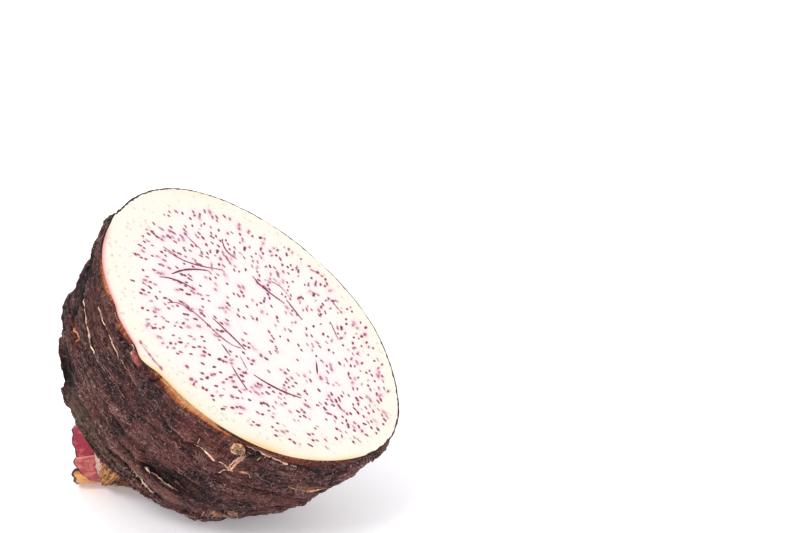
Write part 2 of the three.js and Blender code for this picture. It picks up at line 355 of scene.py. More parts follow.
relief = (lumps + wrinkles + fibres + furrows - 0.45) * rim_calm * apex_calm
shingle = (bark_scar - np.floor(bark_scar)) ** 3 - 0.25


def angle_round(points):
    """The angle of every point round the corm's axis, which leans towards the apex."""
    t2 = (points[:, 2] / BARK_DEPTH) ** 2
    return np.arctan2(points[:, 1] - APEX_SHIFT[1] * t2, points[:, 0] - APEX_SHIFT[0] * t2)


def gap_to_route(angle, depth, route):
    """Distance of every bark point from a route of (angle, depth)."""
    nearest = np.full(len(angle), 99.0)
    for (a1, d1), (a2, d2) in zip(route, route[1:]):
        along_x = np.degrees(turn_between(math.radians(a1), angle)) * MILLIMETRES_A_DEGREE
        step = np.array([(a2 - a1) * MILLIMETRES_A_DEGREE, d2 - d1])
        share = unit((along_x * step[0] + (depth - d1) * step[1]) / (step @ step))
        gap = np.hypot(along_x - share * step[0], depth - d1 - share * step[1])
        nearest = np.minimum(nearest, gap)
    return nearest


split_at = np.zeros(len(on_bark))
for route, _, _ in TORN_EDGES:
    split_gap = gap_to_route(bark_angle, bark_depth, route)
    split_at = np.maximum(split_at, falloff(split_gap, SPLIT_REACH))
strap_at = -0.55 * split_at
strap_back = np.zeros(len(on_bark))
strap_side = np.zeros(len(on_bark))
for route, half_wide, high in STRAPS:
    gap = gap_to_route(bark_angle, bark_depth, route) + 0.6 * noise_at(grain, 0.12)
    first, last = route[0][0], route[-1][0]
    aside = np.abs(np.degrees(turn_between(math.radians((first + last) / 2), bark_angle)))
    taper = unit(((last - first) / 2 + 2 - aside) / 12)  # a strap fades out at its ends
    back = unit((half_wide - gap) / 0.9) * taper
    side = falloff(gap - half_wide - 0.5, 0.7) * taper
    strap_at += high * (back - 0.9 * side)
    strap_back = np.maximum(strap_back, min(1, high) * back)
    strap_side = np.maximum(strap_side, min(1, high) * side)
for *hollow, down in HOLLOWS:
    strap_at -= down * patch(bark_angle, bark_depth, *hollow)
relief += strap_at
# The relief's height, kept for the bark finish, which paints shade into its hollows and light on its
# crests.
bark_ridge = (wrinkles + fibres + furrows + 0.4 * lumps) * apex_calm
bark_ridge += 0.9 * shingle * rim_calm + 0.7 * strap_at
on_bark += point_normals(bark) * relief[:, None]
on_bark[:, 2] = np.minimum(on_bark[:, 2], 0)
move_points(bark, on_bark)

# The rim is closed with the bark's cut edge and a shallow seat for the flesh.
bpy.ops.object.mode_set(mode="EDIT")
bpy.ops.mesh.select_all(action="DESELECT")
bpy.ops.mesh.select_mode(type="EDGE")
bpy.ops.mesh.select_non_manifold(extend=False)
bpy.ops.mesh.edge_face_add()
bpy.ops.mesh.select_mode(type="FACE")
bpy.ops.mesh.inset(thickness=BARK_EDGE)
bpy.ops.mesh.extrude_region_move(TRANSFORM_OT_translate={"value": (0, 0, -FLESH_RECESS)})
bpy.ops.object.mode_set(mode="OBJECT")
face_outwards(smooth=True)

# Each point keeps where it is on the bark, so that colour and grain follow the scars.
on_bark = mesh_points(bark)
bark_angle = angle_round(on_bark)
bark_depth = -on_bark[:, 2]
cut_edge_points = np.zeros(len(on_bark) - len(bark_scar))
grain = grain_of(on_bark, bark_angle)


def with_cut_edge(values):
    """Values of the bark's own points, and 0 for the points that closing the rim has added."""
    return np.concatenate([values, cut_edge_points])


def patches(table):
    return sum(strong * patch(bark_angle, bark_depth, *place) for strong, *place in table)


def shadow_along(route, reach):
    return falloff(gap_to_route(bark_angle, bark_depth, route), reach)


# Painted shade in the bark's recesses: dark patches, the bud's crease, under the strap, beside torn
# edges and the sides of straps, and in the hollows.
black = patches(PAINTED_SHADE_PATCHES)
black += 1.3 * shadow_along(BUD_CREASE_SHADE, 0.65) + 0.65 * shadow_along(STRAP_SHADOW, 1.05)
black += 0.75 * with_cut_edge(split_at) + 0.7 * with_cut_edge(strap_side)
black += 0.55 * patches([(min(1, down), *hollow) for *hollow, down in HOLLOWS])
keep(bark, grain=grain, axial=axial_share(grain, bark_depth), black=np.clip(black, 0, 1.2),
     ridge=with_cut_edge(bark_ridge), scar=with_cut_edge(bark_scar), strap=with_cut_edge(strap_back),
     orange=np.clip(patches(ORANGE_PATCHES), 0, 1.4), olive=unit(patches(OLIVE_PATCHES)),
     bud_tip=patch(bark_angle, bark_depth, *BUD_STAIN))


class Finish:
    """A material, the colour that it has so far, and the few calls that wire its nodes."""

    def __init__(self, name, colour=None):
        self.colour = colour
        self.material = bpy.data.materials.new(name)
        self.material.use_nodes = True
        self.tree = self.material.node_tree
        self.shader = self.tree.nodes["Principled BSDF"]

    def node(self, kind, links=None, **settings):
        made = self.tree.nodes.new("ShaderNode" + kind)
        for key, value in settings.items():
            setattr(made, key, value)
        for key, value in (links or {}).items():
            self.feed(made.inputs[key], value)
        return made

    def feed(self, socket, value):
        """Gives an input a value, another node's output, or by its name what each point stores."""
        if isinstance(value, str):
            value = self.attribute(value)
        if isinstance(value, bpy.types.NodeSocket):
            self.tree.links.new(value, socket)
        else:
            socket.default_value = value

    def attribute(self, name, output="Fac"):
        return self.node("Attribute", attribute_name=name).outputs[output]

    def stretched_noise(self, vector, stretch, scale, detail=4.0, roughness=0.6):
        mapped = self.node("Mapping", {"Vector": vector, "Scale": stretch}).outputs["Vector"]
        inputs = {"Vector": mapped, "Scale": scale, "Detail": detail, "Roughness": roughness}
        return self.node("TexNoise", inputs).outputs["Fac"]

    def noise_inside(self, scale, detail, roughness):
        place = self.node("TexCoord").outputs["Object"]
        return self.stretched_noise(place, (1, 1, 1), scale, detail, roughness)

    def ramp(self, factor, stops):
        made = self.node("ValToRGB", {"Fac": factor})
        ramp = made.color_ramp
        while len(ramp.elements) < len(stops):
            ramp.elements.new(0.5)
        for element, (place, colour) in zip(ramp.elements, stops):
            element.position = place
            element.color = (*colour, 1)
        return made.outputs["Color"]

    def level(self, factor, low, high, to_low=0.0, to_high=1.0):
        inputs = {0: factor, 1: low, 2: high, 3: to_low, 4: to_high}
        return self.node("MapRange", inputs, clamp=True).outputs[0]

    def maths(self, operation, first, second=0.0):
        return self.node("Math", {0: first, 1: second}, operation=operation).outputs[0]

    def add(self, first, second):
        return self.maths("ADD", first, second)

    def times(self, first, second):
        return self.maths("MULTIPLY", first, second)

    def off_middle(self, noise_socket):
        return self.maths("ABSOLUTE", self.maths("SUBTRACT", noise_socket, 0.5))

    def mix(self, factor, first, second, blend="MIX"):
        made = self.node("Mix", data_type="RGBA", blend_type=blend)
        self.feed(made.inputs[0], factor)
        for socket, colour in ((6, first), (7, second)):
            self.feed(made.inputs[socket], (*colour, 1) if isinstance(colour, tuple) else colour)
        return made.outputs[2]

    def tint(self, colour, factor, *levels, by=None, blend="MIX"):
        """Lays one more colour over what there is, by a factor that may be levelled first."""
        if levels:
            factor = self.level(factor, *levels)
        if by is not None:
            factor = self.times(factor, by)
        self.colour = self.mix(factor, self.colour, colour, blend)

    def bump(self, height, distance, strength=1.0, normal=None):
        inputs = {"Height": height, "Distance": distance, "Strength": strength}
        if normal is not None:
            inputs["Normal"] = normal
        return self.node("Bump", inputs).outputs["Normal"]

    def finish(self, **sockets):
        for name, value in {"Base_Color": self.colour, **sockets}.items():
            self.feed(self.shader.inputs[name.replace("_", " ")], value)
        return self.material


# The darkest colour: painted shade in crevices, cracks, scar steps and hollows, and also the darkest
# random tone of bark and fibres.
DARK_AND_SHADE = (0.013, 0.008, 0.010)
BARK_DARK = (0.054, 0.022, 0.024)
BARK_MID = (0.175, 0.066, 0.065)
BARK_PALE = (0.375, 0.178, 0.158)
BARK_GLINT = (0.66, 0.44, 0.38)
RED_BARK = (0.21, 0.055, 0.046)
STRAP_BARK = (0.21, 0.075, 0.052)
OLIVE_BARK = (0.165, 0.112, 0.082)
EMBER = (0.255, 0.062, 0.032)
ORANGE_BARK = (0.80, 0.25, 0.085)
PEACH_BARK = (0.92, 0.50, 0.24)
BUD_TIP = (0.33, 0.085, 0.075)

skin = Finish("fibrous_bark")
grain_at = skin.attribute("grain", "Vector")
crinkle = skin.node("TexNoise", {"Vector": grain_at, "Scale": 0.22, "Detail": 2.0}).outputs["Color"]
crinkled = skin.node("VectorMath", {0: crinkle, 1: (2.0, 2.0, 3.2)}, operation="MULTIPLY").outputs[0]
crinkled = skin.node("VectorMath", {0: grain_at, 1: crinkled}, operation="ADD").outputs[0]
down_strands = skin.stretched_noise(crinkled, (1, 1, 0.16), 1.6, 4, 0.68)
ring_strands = skin.stretched_noise(crinkled, (0.18, 0.18, 1), 1.7, 4, 0.68)
axial_edge = skin.level("axial", 0.3, 0.7)
strands = skin.node("Mix", {0: axial_edge, 2: ring_strands, 3: down_strands}).outputs[0]
felt = skin.stretched_noise(crinkled, (0.6, 0.6, 1), 3.0, 4, 0.8)
blotches = skin.stretched_noise(grain_at, (1, 1, 1), 0.085, 3, 0.6)
cracks = skin.stretched_noise(crinkled, (0.09, 0.09, 1), 0.62, 2, 0.5)
pale_lines = skin.stretched_noise(crinkled, (0.11, 0.11, 1), 0.8, 2, 0.5)
specks = skin.stretched_noise(grain_at, (0.8, 0.8, 1), 1.5, 2, 0.6)
crack_gap, pale_gap = skin.off_middle(cracks), skin.off_middle(pale_lines)
tone = skin.add(skin.times(strands, 0.56), skin.times(felt, 0.44))
tone = skin.add(tone, skin.level(blotches, 0.3, 0.7, -0.035, 0.03))
# The relief's height darkens the hollows and lightens the crests: painted shade and painted
# highlight.
tone = skin.add(tone, skin.level("ridge", -0.9, 1.3, -0.10, 0.085))
skin.colour = skin.ramp(tone, (
    (0.41, DARK_AND_SHADE), (0.455, BARK_DARK), (0.51, BARK_MID), (0.565, BARK_PALE), (0.63, BARK_GLINT)))
skin.tint(RED_BARK, blotches, 0.44, 0.64, 0, 0.5)
# Painted shade along thin cracks.
skin.tint(DARK_AND_SHADE, crack_gap, 0.006, 0.032, 1, 0, by=skin.level(blotches, 0.6, 0.4, 0.35, 0.9))
# Pale fibres on the felt's crests, partly painted highlight.
skin.tint(BARK_GLINT, pale_gap, 0.002, 0.016, 0.8, 0, by=skin.level(felt, 0.47, 0.6))
# Painted glints on tiny crests, then specks of painted shade between them.
skin.tint(BARK_GLINT, specks, 0.62, 0.68, 0, 0.75)
skin.tint(DARK_AND_SHADE, specks, 0.39, 0.33, 0, 0.8)
skin.tint(STRAP_BARK, strands, 0.38, 0.6, 0.05, 0.65, by="strap")
skin.tint(OLIVE_BARK, strands, 0.4, 0.57, 0.3, 0.85, by="olive")
# Painted shade along the foot of each scar's step, painted light on its lip.
scar_share = skin.maths("FRACT", "scar")
skin.tint(DARK_AND_SHADE, scar_share, 0.0, 0.12, 0.85, 0.0)
skin.tint(BARK_PALE, scar_share, 0.86, 0.97, 0.0, 0.45, by=skin.level(felt, 0.45, 0.6))
# Painted shade in recesses, ragged at its edge; on the bud scale, its own dark colour.
black_edge = skin.add("black", skin.level(felt, 0.35, 0.65, -0.35, 0.3))
skin.tint(DARK_AND_SHADE, black_edge, 0.15, 0.9, 0, 0.9)
streaks = skin.add(skin.level(down_strands, 0.3, 0.7, -0.45, 0.45),
                   skin.level(felt, 0.3, 0.7, -0.3, 0.3))
streaks = skin.times(streaks, skin.level("orange", 0.02, 0.4))
orange_edge = skin.add("orange", streaks)
skin.tint(EMBER, orange_edge, 0.04, 0.42, 0, 0.9)
skin.tint(ORANGE_BARK, orange_edge, 0.5, 0.95)
skin.tint(PEACH_BARK, orange_edge, 1.0, 1.5)
skin.tint(BUD_TIP, "bud_tip", 0.3, 0.7, 0, 0.8)
# The deepest painted shade in the recesses.
skin.tint(DARK_AND_SHADE, "black", 0.8, 1.05, 0, 0.85)
bark_bump = skin.bump(felt, 0.0012, 0.7)
bark_bump = skin.bump(skin.level(crack_gap, 0.0, 0.04), 0.0008, 0.9, bark_bump)
bark_bump = skin.bump(strands, 0.0030, 0.9, bark_bump)
bark_material = skin.finish(Roughness=0.68, Specular_IOR_Level=0.16, Normal=bark_bump)

bark_tree = BVHTree.FromObject(bark, bpy.context.evaluated_depsgraph_get())
lay_in_frame(bark, bark_material)


# ---- The flesh at the cut --------------------------------------------------------------------
# Starchy cream flesh, sliced flat. Vascular bundles run through it and the knife has cut them into
# maroon flecks with a soft pink halo; a few lie along the cut and show as thin strands.

FLESH_PROUD = 0.12
SEAT_GAP = 0.1  # between the flesh and its seat in the bark
HALO_REACH = 1.40  # in half widths of a fleck
CORTEX_SHARE = 0.87  # beyond this share of the radius there are no flecks
FLECKS = 680
FLECK_GAP = 1.65
SHARP = (1, 1, (0.42, 0.88), (0.15, 0.75))  # of a fleck: length and width times, how dark, halo
SMUDGED = (1.3, 1.4, (0.32, 0.55), (0.7, 1.1))
CORTEX_DOTS = 190
GRID_STEP = 1.35
ROW_SHARE = 0.866  # of the step along a row, as in a net of equal triangles
ROW_STRETCH = 1.1
GRID_CLEAR = 2.9  # of the rim
STRANDS = (  # bundles that lie along the cut: routes over its face
    ((-9.5, 36.3), (-7.1, 31.7), (-1.5, 26.4), (6.1, 21.8)),
    ((-9.6, 38.2), (-6.2, 30)),
    ((-15.6, 28), (-11.4, 27.8), (-0.1, 23.6)),
    ((-21.4, 28.8), (-15.7, 24.8), (-12.6, 20)),
    ((-27.2, 19.4), (-22.9, 17.2), (-19.9, 9.8), (-14.7, -5.7)),
    ((-15.2, 7.5), (-14.1, -0.1), (-13.5, -7.1)),
    ((16.5, 14.6), (16.5, 9.9), (18.2, 4.5), (19.4, 1.3)),
    ((20.1, 11.8), (24.3, 6.9), (23.5, 1.1)),
    ((-24.3, -10.1), (-25.7, -15.2), (-26.4, -19.3)),
    ((-18.6, -16.5), (-14.9, -23.4), (-8.6, -30.6)),
    ((-17.8, -8.4), (-19.6, -13.4)),
    ((10.6, -23.1), (6.9, -26.5)),
    ((32.3, -12.8), (28.7, -19.9)),
    ((3.8, 38.5), (4.8, 32.1)),
    ((17.5, 31.8), (15, 26.5), (16.2, 23.2)),
    ((21.8, 1.7), (20.9, -6.4)),
    ((41.2, -5.8), (40.9, -12.4)),
    ((-20.7, -1.9), (-21.4, -6.5)),
)
BUD_STRAND = ((-50.3, 11.4), (-51.1, 6.0), (-51.2, 0.6))
RIM_COUNT = 420
WARM_ARCS = (  # yellowed rim: how strong, reach inwards, from and to angle, softness
    (0.85, 0.9, 176, 262, 8),
    (0.28, 4.5, 180, 240, 12),
    (0.55, 2.6, 223, 233, 7),
    (0.3, 2.0, 55, 75, 6),
)

rim_angle = np.linspace(-math.pi, math.pi, 361)
rim_radius = np.hypot(*bark_points(rim_angle, 0 * rim_angle)[:, :2].T)


def rim_at(angle):
    return np.interp(turn_between(0, angle), rim_angle, rim_radius)


def share_of_rim(points):
    return np.hypot(points[:, 0], points[:, 1]) / rim_at(np.arctan2(points[:, 1], points[:, 0]))


def spot_share(x, y):
    return math.hypot(x, y) / float(rim_at(math.atan2(y, x)))


def fleck_density(x, y):
    share = spot_share(x, y)
    if share > CORTEX_SHARE + 0.06 * math.cos(math.atan2(y, x) + 0.9):
        return 0.0
    return 0.35 + 0.65 * min(1, (share / 0.55) ** 2)


def flow_direction(x, y):
    """Bundles run down the slope of the face and draw together towards its lower middle."""
    lean = 0.030 * x + 0.35 * noise.noise(Vector((x * 0.05, y * 0.05, 3.1)))
    return -math.pi / 2 - lean


draw = random.Random(61)


def draw_spot():
    return draw.uniform(-60, 60), draw.uniform(-56, 56)


flecks = []
while len(flecks) < FLECKS:
    x, y = draw_spot()
    if draw.random() > fleck_density(x, y):
        continue
    for _ in range(draw.choice((1, 1, 1, 2, 2))):
        if fleck_density(x, y) == 0:
            break
        if all(math.hypot(x - f[0], y - f[1]) > FLECK_GAP for f in flecks):
            length = draw.uniform(0.62, 1.1) * (1.6 if draw.random() < 0.2 else 1)
            width = draw.uniform(0.4, 0.62)
            turn = flow_direction(x, y) + draw.gauss(0, 0.4)
            longer, wider, dark, halo = SMUDGED if draw.random() < 0.16 else SHARP
            flecks.append((x, y, turn, length * longer, width * wider,
                           draw.uniform(*dark), draw.uniform(*halo)))
        away = draw.uniform(1.6, 2.2)
        towards = draw.uniform(0, 2 * math.pi)
        x, y = x + away * math.cos(towards), y + away * math.sin(towards)
bud_flecks = [(*BUD_STRAND[end], 1.0, 0.9, 0.6, 0.55, 1.0) for end in (0, -1)]
flecks = np.array(flecks[:FLECKS] + bud_flecks)
dots = []
while len(dots) < CORTEX_DOTS:
    x, y = draw_spot()
    if 0.8 < spot_share(x, y) < 0.965:
        dots.append((x, y, draw.uniform(0, 3), draw.uniform(0.35, 0.7), draw.uniform(0.3, 0.5)))


def along(route, step):
    """Points every step along a smoothed route."""
    corners = np.array(route, dtype=float)
    reach = np.concatenate([[0], np.cumsum(np.hypot(*np.diff(corners, axis=0).T))])
    if len(route) > 2:
        fine = np.linspace(0, reach[-1], 8 * len(route))
        smooth = [np.polyfit(reach, corners[:, i], min(3, len(route) - 1)) for i in range(2)]
        corners = np.column_stack([np.polyval(c, fine) for c in smooth])
        reach = fine
    at = np.arange(0, reach[-1] + step / 2, step)
    return np.column_stack([np.interp(at, reach, corners[:, i]) for i in range(2)])


def headings(middle):
    heading = np.gradient(middle, axis=0)
    return heading / np.hypot(*heading.T)[:, None]


def ring_round(fleck, spread, count):
    x, y, turn, length, width = fleck[:5]
    angle = np.arange(count) * 2 * math.pi / count
    u = np.cos(angle) * length * spread
    v = np.sin(angle) * width * spread
    return np.column_stack([x + u * math.cos(turn) - v * math.sin(turn),
                            y + u * math.sin(turn) + v * math.cos(turn)])


strand_rows = []
for route in (*STRANDS, BUD_STRAND):
    middle = along(route, 0.55)
    wide = 0.5 if route is BUD_STRAND else draw.uniform(0.3, 0.54)
    taper = np.sin(np.linspace(0.15, math.pi - 0.15, len(middle))) ** 0.6
    strand_rows.append((middle, headings(middle), wide * (0.35 + 0.65 * taper)))

rim_turn = np.arange(RIM_COUNT) * 2 * math.pi / RIM_COUNT


def rim_ring(inward):
    radius = rim_at(rim_turn) - BARK_EDGE - inward
    return np.column_stack([radius * np.cos(rim_turn), radius * np.sin(rim_turn)])


columns = np.arange(-62, 62, GRID_STEP)
grid = np.array([(x + (GRID_STEP / 2 if row % 2 else 0), y)
                 for row, y in enumerate(columns * ROW_SHARE * ROW_STRETCH) for x in columns])
grid = grid[share_of_rim(grid) < 1 - GRID_CLEAR / BARK_RADIUS]
grid += np.array([(draw.uniform(-0.2, 0.2), draw.uniform(-0.2, 0.2)) for _ in grid])
spots = [rim_ring(0), rim_ring(0.25), rim_ring(0.6), rim_ring(1.0)[::2], rim_ring(1.6)[::2], grid]
for fleck in flecks:
    spots.append(fleck[None, :2])
    spots += [ring_round(fleck, spread, count) for spread, count in ((0.62, 6), (1.12, 8), (1.9, 8))]
for dot in dots:
    spots += [np.array([dot[:2]]), ring_round(dot, 1.1, 6)]
for middle, heading, wide in strand_rows:
    side = np.column_stack([-heading[:, 1], heading[:, 0]]) * wide[:, None]
    for offset in (-2.6, -1.15, -0.5, 0.5, 1.15, 2.6):
        spots.append(middle + side * offset)
spots = np.concatenate(spots)
inside = share_of_rim(spots) < 1 - (BARK_EDGE + 0.1) / BARK_RADIUS
inside[:RIM_COUNT] = True
spots = spots[inside]
flat, _, triangles, *_ = delaunay_2d_cdt(
    [Vector(p) for p in spots], [], [list(range(RIM_COUNT))], 1, 1e-3)


def piece_from(name, points, faces):
    """A new piece from its points and faces."""
    mesh = bpy.data.meshes.new(name)
    mesh.from_pydata([tuple(p) for p in points], [], faces)
    piece = bpy.data.objects.new(name, mesh)
    bpy.context.collection.objects.link(piece)
    deselect_all()
    piece.select_set(True)
    bpy.context.view_layer.objects.active = piece
    return piece


flesh = piece_from("cut_flesh", [(p.x, p.y, FLESH_PROUD) for p in flat], triangles)
bpy.ops.object.mode_set(mode="EDIT")
bpy.ops.mesh.select_mode(type="EDGE")
bpy.ops.mesh.select_all(action="DESELECT")
bpy.ops.mesh.select_non_manifold(extend=False)
bpy.ops.mesh.extrude_region_move(
    TRANSFORM_OT_translate={"value": (0, 0, SEAT_GAP - FLESH_PROUD - FLESH_RECESS)})
bpy.ops.mesh.edge_face_add()
bpy.ops.object.mode_set(mode="OBJECT")
face_outwards()

on_flesh = mesh_points(flesh)
fleck_stain = np.zeros(len(on_flesh))
halo_stain = np.zeros(len(on_flesh))
for x, y, turn, length, width, depth_of_colour, halo in flecks:
    dx, dy = on_flesh[:, 0] - x, on_flesh[:, 1] - y
    near = np.abs(dx) + np.abs(dy) < 6
    u = dx[near] * math.cos(turn) + dy[near] * math.sin(turn)
    v = -dx[near] * math.sin(turn) + dy[near] * math.cos(turn)
    reach = np.hypot(u / length, v / width)
    core = depth_of_colour * unit((1.15 - reach) / 0.5)
    fleck_stain[near] = np.maximum(fleck_stain[near], core)
    halo_stain[near] += halo * falloff(reach, HALO_REACH) * 0.85
for number, (middle, _, wide) in enumerate(strand_rows):
    gap = np.hypot(*(on_flesh[:, None, i] - middle[None, :, i] for i in (0, 1)))
    nearest = gap.argmin(axis=1)
    reach = gap.min(axis=1) / wide[nearest]
    strength = 0.42 if number == len(STRANDS) else 0.55 if number % 3 == 1 else 0.85
    fleck_stain = np.maximum(fleck_stain, strength * unit((1.15 - reach) / 0.6))
    halo_stain += 0.35 * falloff(reach, 2.4)
dot_stain = np.zeros(len(on_flesh))
for x, y, _, length, _ in dots:
    reach = np.hypot(on_flesh[:, 0] - x, on_flesh[:, 1] - y) / length
    dot_stain = np.maximum(dot_stain, unit(1.3 - reach))
flesh_share = share_of_rim(on_flesh)
flesh_angle = np.arctan2(on_flesh[:, 1], on_flesh[:, 0])
rim_gap = (1 - flesh_share) * BARK_RADIUS - BARK_EDGE


def arc(start, end, soft):
    """1 between two angles in degrees, fading over soft degrees outside them."""
    middle, half = (start + end) / 2, (end - start) / 2
    aside = np.abs(np.degrees(turn_between(math.radians(middle), flesh_angle)))
    return unit(1 - (aside - half) / soft)


def rim_arc(reach, *between):
    return falloff(rim_gap, reach) * arc(*between)


rim_place = np.column_stack([np.cos(flesh_angle), np.sin(flesh_angle), 0 * flesh_angle]) * BARK_RADIUS
skin_reach = 0.16 + 0.4 * noise_at(rim_place, (0.5, 0.5, 1))
skin_reach += 0.25 * noise_at(rim_place, (1.3, 1.3, 1))
skin_reach -= 2 * arc(112, 262, 6)  # the far rim only
warm_rim = sum(strong * rim_arc(*place) for strong, *place in WARM_ARCS)
keep(flesh, dot=dot_stain, fleck=fleck_stain, halo=unit(halo_stain), from_middle=flesh_share,
     pink_rim=rim_arc(0.9, 120, 166, 8), warm_rim=unit(warm_rim),
     skin_line=unit(0.5 + (skin_reach - rim_gap) / 0.3))

CREAM = (0.75, 0.70, 0.61)
INNER_FLESH = (0.755, 0.70, 0.69)
PINK_HALO = (0.64, 0.27, 0.39)
CORTEX_DOT = (0.40, 0.37, 0.27)
MAROON = (0.085, 0.018, 0.045)
MAGENTA = (0.27, 0.045, 0.12)
PINK_RIM = (0.68, 0.30, 0.29)
WARM_RIM = (0.72, 0.50, 0.24)
SKIN_LINE = (0.11, 0.05, 0.03)

pulp = Finish("cut_flesh")
starch = pulp.noise_inside(900, 3, 0.6)
clouds = pulp.noise_inside(70, 3, 0.5)
inner_share = pulp.level("from_middle", 0.66, 0.93, 1, 0)
inner_share = pulp.times(inner_share, pulp.level(clouds, 0.3, 0.6, 0.5, 1))
pulp.colour = pulp.mix(inner_share, CREAM, INNER_FLESH)
pulp.tint(PINK_HALO, clouds, 0.35, 0.65, 0.3, 0.85, by="halo")
pulp.tint(PINK_RIM, "pink_rim")
pulp.tint(WARM_RIM, clouds, 0.3, 0.65, 0.45, 1, by="warm_rim")
pulp.tint(SKIN_LINE, "skin_line", 0.4, 0.6)
pulp.tint(CORTEX_DOT, "dot", 0.2, 0.9, 0, 0.55)
fleck_edge = pulp.add("fleck", pulp.level(starch, 0.3, 0.7, -0.22, 0.22))
fleck_colour = pulp.mix(pulp.level(fleck_edge, 0.45, 1.0), MAGENTA, MAROON)
pulp.tint(fleck_colour, fleck_edge, 0.12, 0.62)
flesh_material = pulp.finish(
    Roughness=0.5, Specular_IOR_Level=0.2, Normal=pulp.bump(starch, 0.00015, 0.35))
lay_in_frame(flesh, flesh_material)


# ---- The torn strap --------------------------------------------------------------------------
# The lowest leaf base has torn loose as one tough strap. It lies along the bark beside the shoot,
# fast at its upper edge and free at its lower one, which hangs over the husk.

STRAP_TOP = (  # how far along, angle and depth on the bark
    (0, 141, 58), (14, 149, 55.5), (29, 158.2, 54.6), (54, 168.1, 54.7), (79, 177.7, 55.2),
    (101, 185.7, 54.8), (116, 191.5, 54.8), (130, 197.5, 55.4), (144, 203.5, 56.4),
    (163, 213, 58.4), (179, 220, 60.2),
)
STRAP_EDGE = (  # how far along, place of the free edge
    (0, -22.5, 24.5, -66.8), (14, -24.5, 20.5, -66.6), (25, -25.8, 17.6, -66.3),
    (39, -25.5, 14.2, -67.3), (52, -25.2, 11.1, -68.3), (65, -25.0, 8.0, -69.2),
    (79, -24.8, 4.7, -69.7), (97, -24.8, 0.1, -69.3), (115, -25.0, -4.4, -67.9),
    (130, -25.4, -8.3, -66.8), (143, -25.8, -11.7, -65.9), (155, -26.0, -14.7, -64.6),
    (168, -25.5, -17.9, -63.9), (179, -24.8, -20.5, -63.3),
)
STRAP_LENGTH = STRAP_TOP[-1][0]
STRAP_THICKNESS = 0.8
OUTSIDE = 90  # from the corm's axis, clear of everything: where rays start
laid_trees = [bark_tree]


def axis_at(depth):
    t = depth / BARK_DEPTH
    return Vector((APEX_SHIFT[0] * t * t, APEX_SHIFT[1] * t * t, -depth))


def on_bark_at(angle, depth, lift, trees=None):
    """The point of the finished bark at an angle and depth, and its outward direction."""
    core = axis_at(min(max(depth, 0.3), BARK_DEPTH - 3))
    outward = Vector((math.cos(angle), math.sin(angle), 0))
    hits = [tree.ray_cast(core + outward * OUTSIDE, -outward)[:2] for tree in trees or laid_trees]
    hit, normal = max((h for h in hits if h[0]), key=lambda h: (h[0] - core) @ outward)
    return hit + normal * lift, normal


def thicken(piece, thickness, offset=0):
    """Gives a sheet its thickness, half on each side of it, or all under it with offset -1."""
    wall = piece.modifiers.new("thickness", "SOLIDIFY")
    wall.thickness = thickness
    wall.offset = offset
    bpy.ops.object.modifier_apply(modifier=wall.name)


strap, across, up = grid_piece("torn_strap", 220, 36)
along_strap, down_strap = across * STRAP_LENGTH, 1 - up
top_at, top_angle, top_depth = np.transpose(STRAP_TOP)
edge_at, *edge_lines = np.transpose(STRAP_EDGE)
edge = np.column_stack([np.interp(along_strap, edge_at, line) for line in edge_lines])
edge_angle = np.degrees(np.arctan2(edge[:, 1], edge[:, 0])) % 360
strap_angle = np.interp(along_strap, top_at, top_angle)
strap_angle += (edge_angle - strap_angle) * down_strap
strap_depth = np.interp(along_strap, top_at, top_depth)
strap_depth += (-edge[:, 2] - strap_depth) * down_strap
swell = 0.25 + 1.0 * np.sin(math.pi * unit(down_strap)) ** 0.6
upper_roll = unit((along_strap - 85) / 20) * unit((175 - along_strap) / 15)
swell += 0.8 * upper_roll * (1 - down_strap) ** 2
laid_on = np.array([on_bark_at(math.radians(a), d, up)[0]
                    for a, d, up in zip(strap_angle, strap_depth, swell)])
hang = unit((down_strap - 0.35) / 0.65) ** 2
lay = laid_on + (edge - laid_on) * hang[:, None]
way_x, way_y = np.cos(np.radians(strap_angle)), np.sin(np.radians(strap_angle))
strap_grain = np.column_stack([BARK_RADIUS * way_x, BARK_RADIUS * way_y, strap_depth])
streak = noise_at(strap_grain, (0.07, 0.07, 0.75)) + 0.6 * noise_at(strap_grain, (0.25, 0.25, 1.6))
outward = np.column_stack([way_x, way_y, -0.5 + 0 * hang])
lay += outward * (0.38 * streak * np.sin(math.pi * down_strap))[:, None]
ends = np.minimum(along_strap, STRAP_LENGTH - along_strap) / 14
lay -= outward * (1.5 * unit(1 - ends) ** 2)[:, None]
round_only = strap_grain * (1, 1, 0)
ragged = 0.5 * noise_at(round_only, (0.5, 0.5, 1)) + 0.3 * noise_at(round_only, (1.6, 1.6, 1))
lay[:, 2] += ragged * down_strap**4
move_points(strap, lay)
# ridge follows the streaks that shape the strap: painted shade in their grooves, painted light on
# their crests.
keep(strap, grain=strap_grain, ridge=0.25 + 0.7 * streak, scar=0.5,
     olive=unit(1.4 - along_strap / 150 - 0.5 * np.abs(streak)),
     strap=unit(along_strap / STRAP_LENGTH) * 0.6)
thicken(strap, STRAP_THICKNESS, -1)
face_outwards(smooth=True)
laid_trees.append(BVHTree.FromObject(strap, bpy.context.evaluated_depsgraph_get()))
lay_in_frame(strap, bark_material)


# ---- Torn edges of the bark ------------------------------------------------------------------
# Where a leaf scar has split or a root has come away, the torn edge of the bark shows cream and
# tan. Each is a thin ragged lip that follows the surface.

ROOT_SCAR = (217, 4.2)  # angle and depth of the round scar of a root
ROOT_STALK = ((219.8, 5.4), (221.1, 7.5), (220.4, 10.5), (220.8, 13.2), (222.6, 17.4))


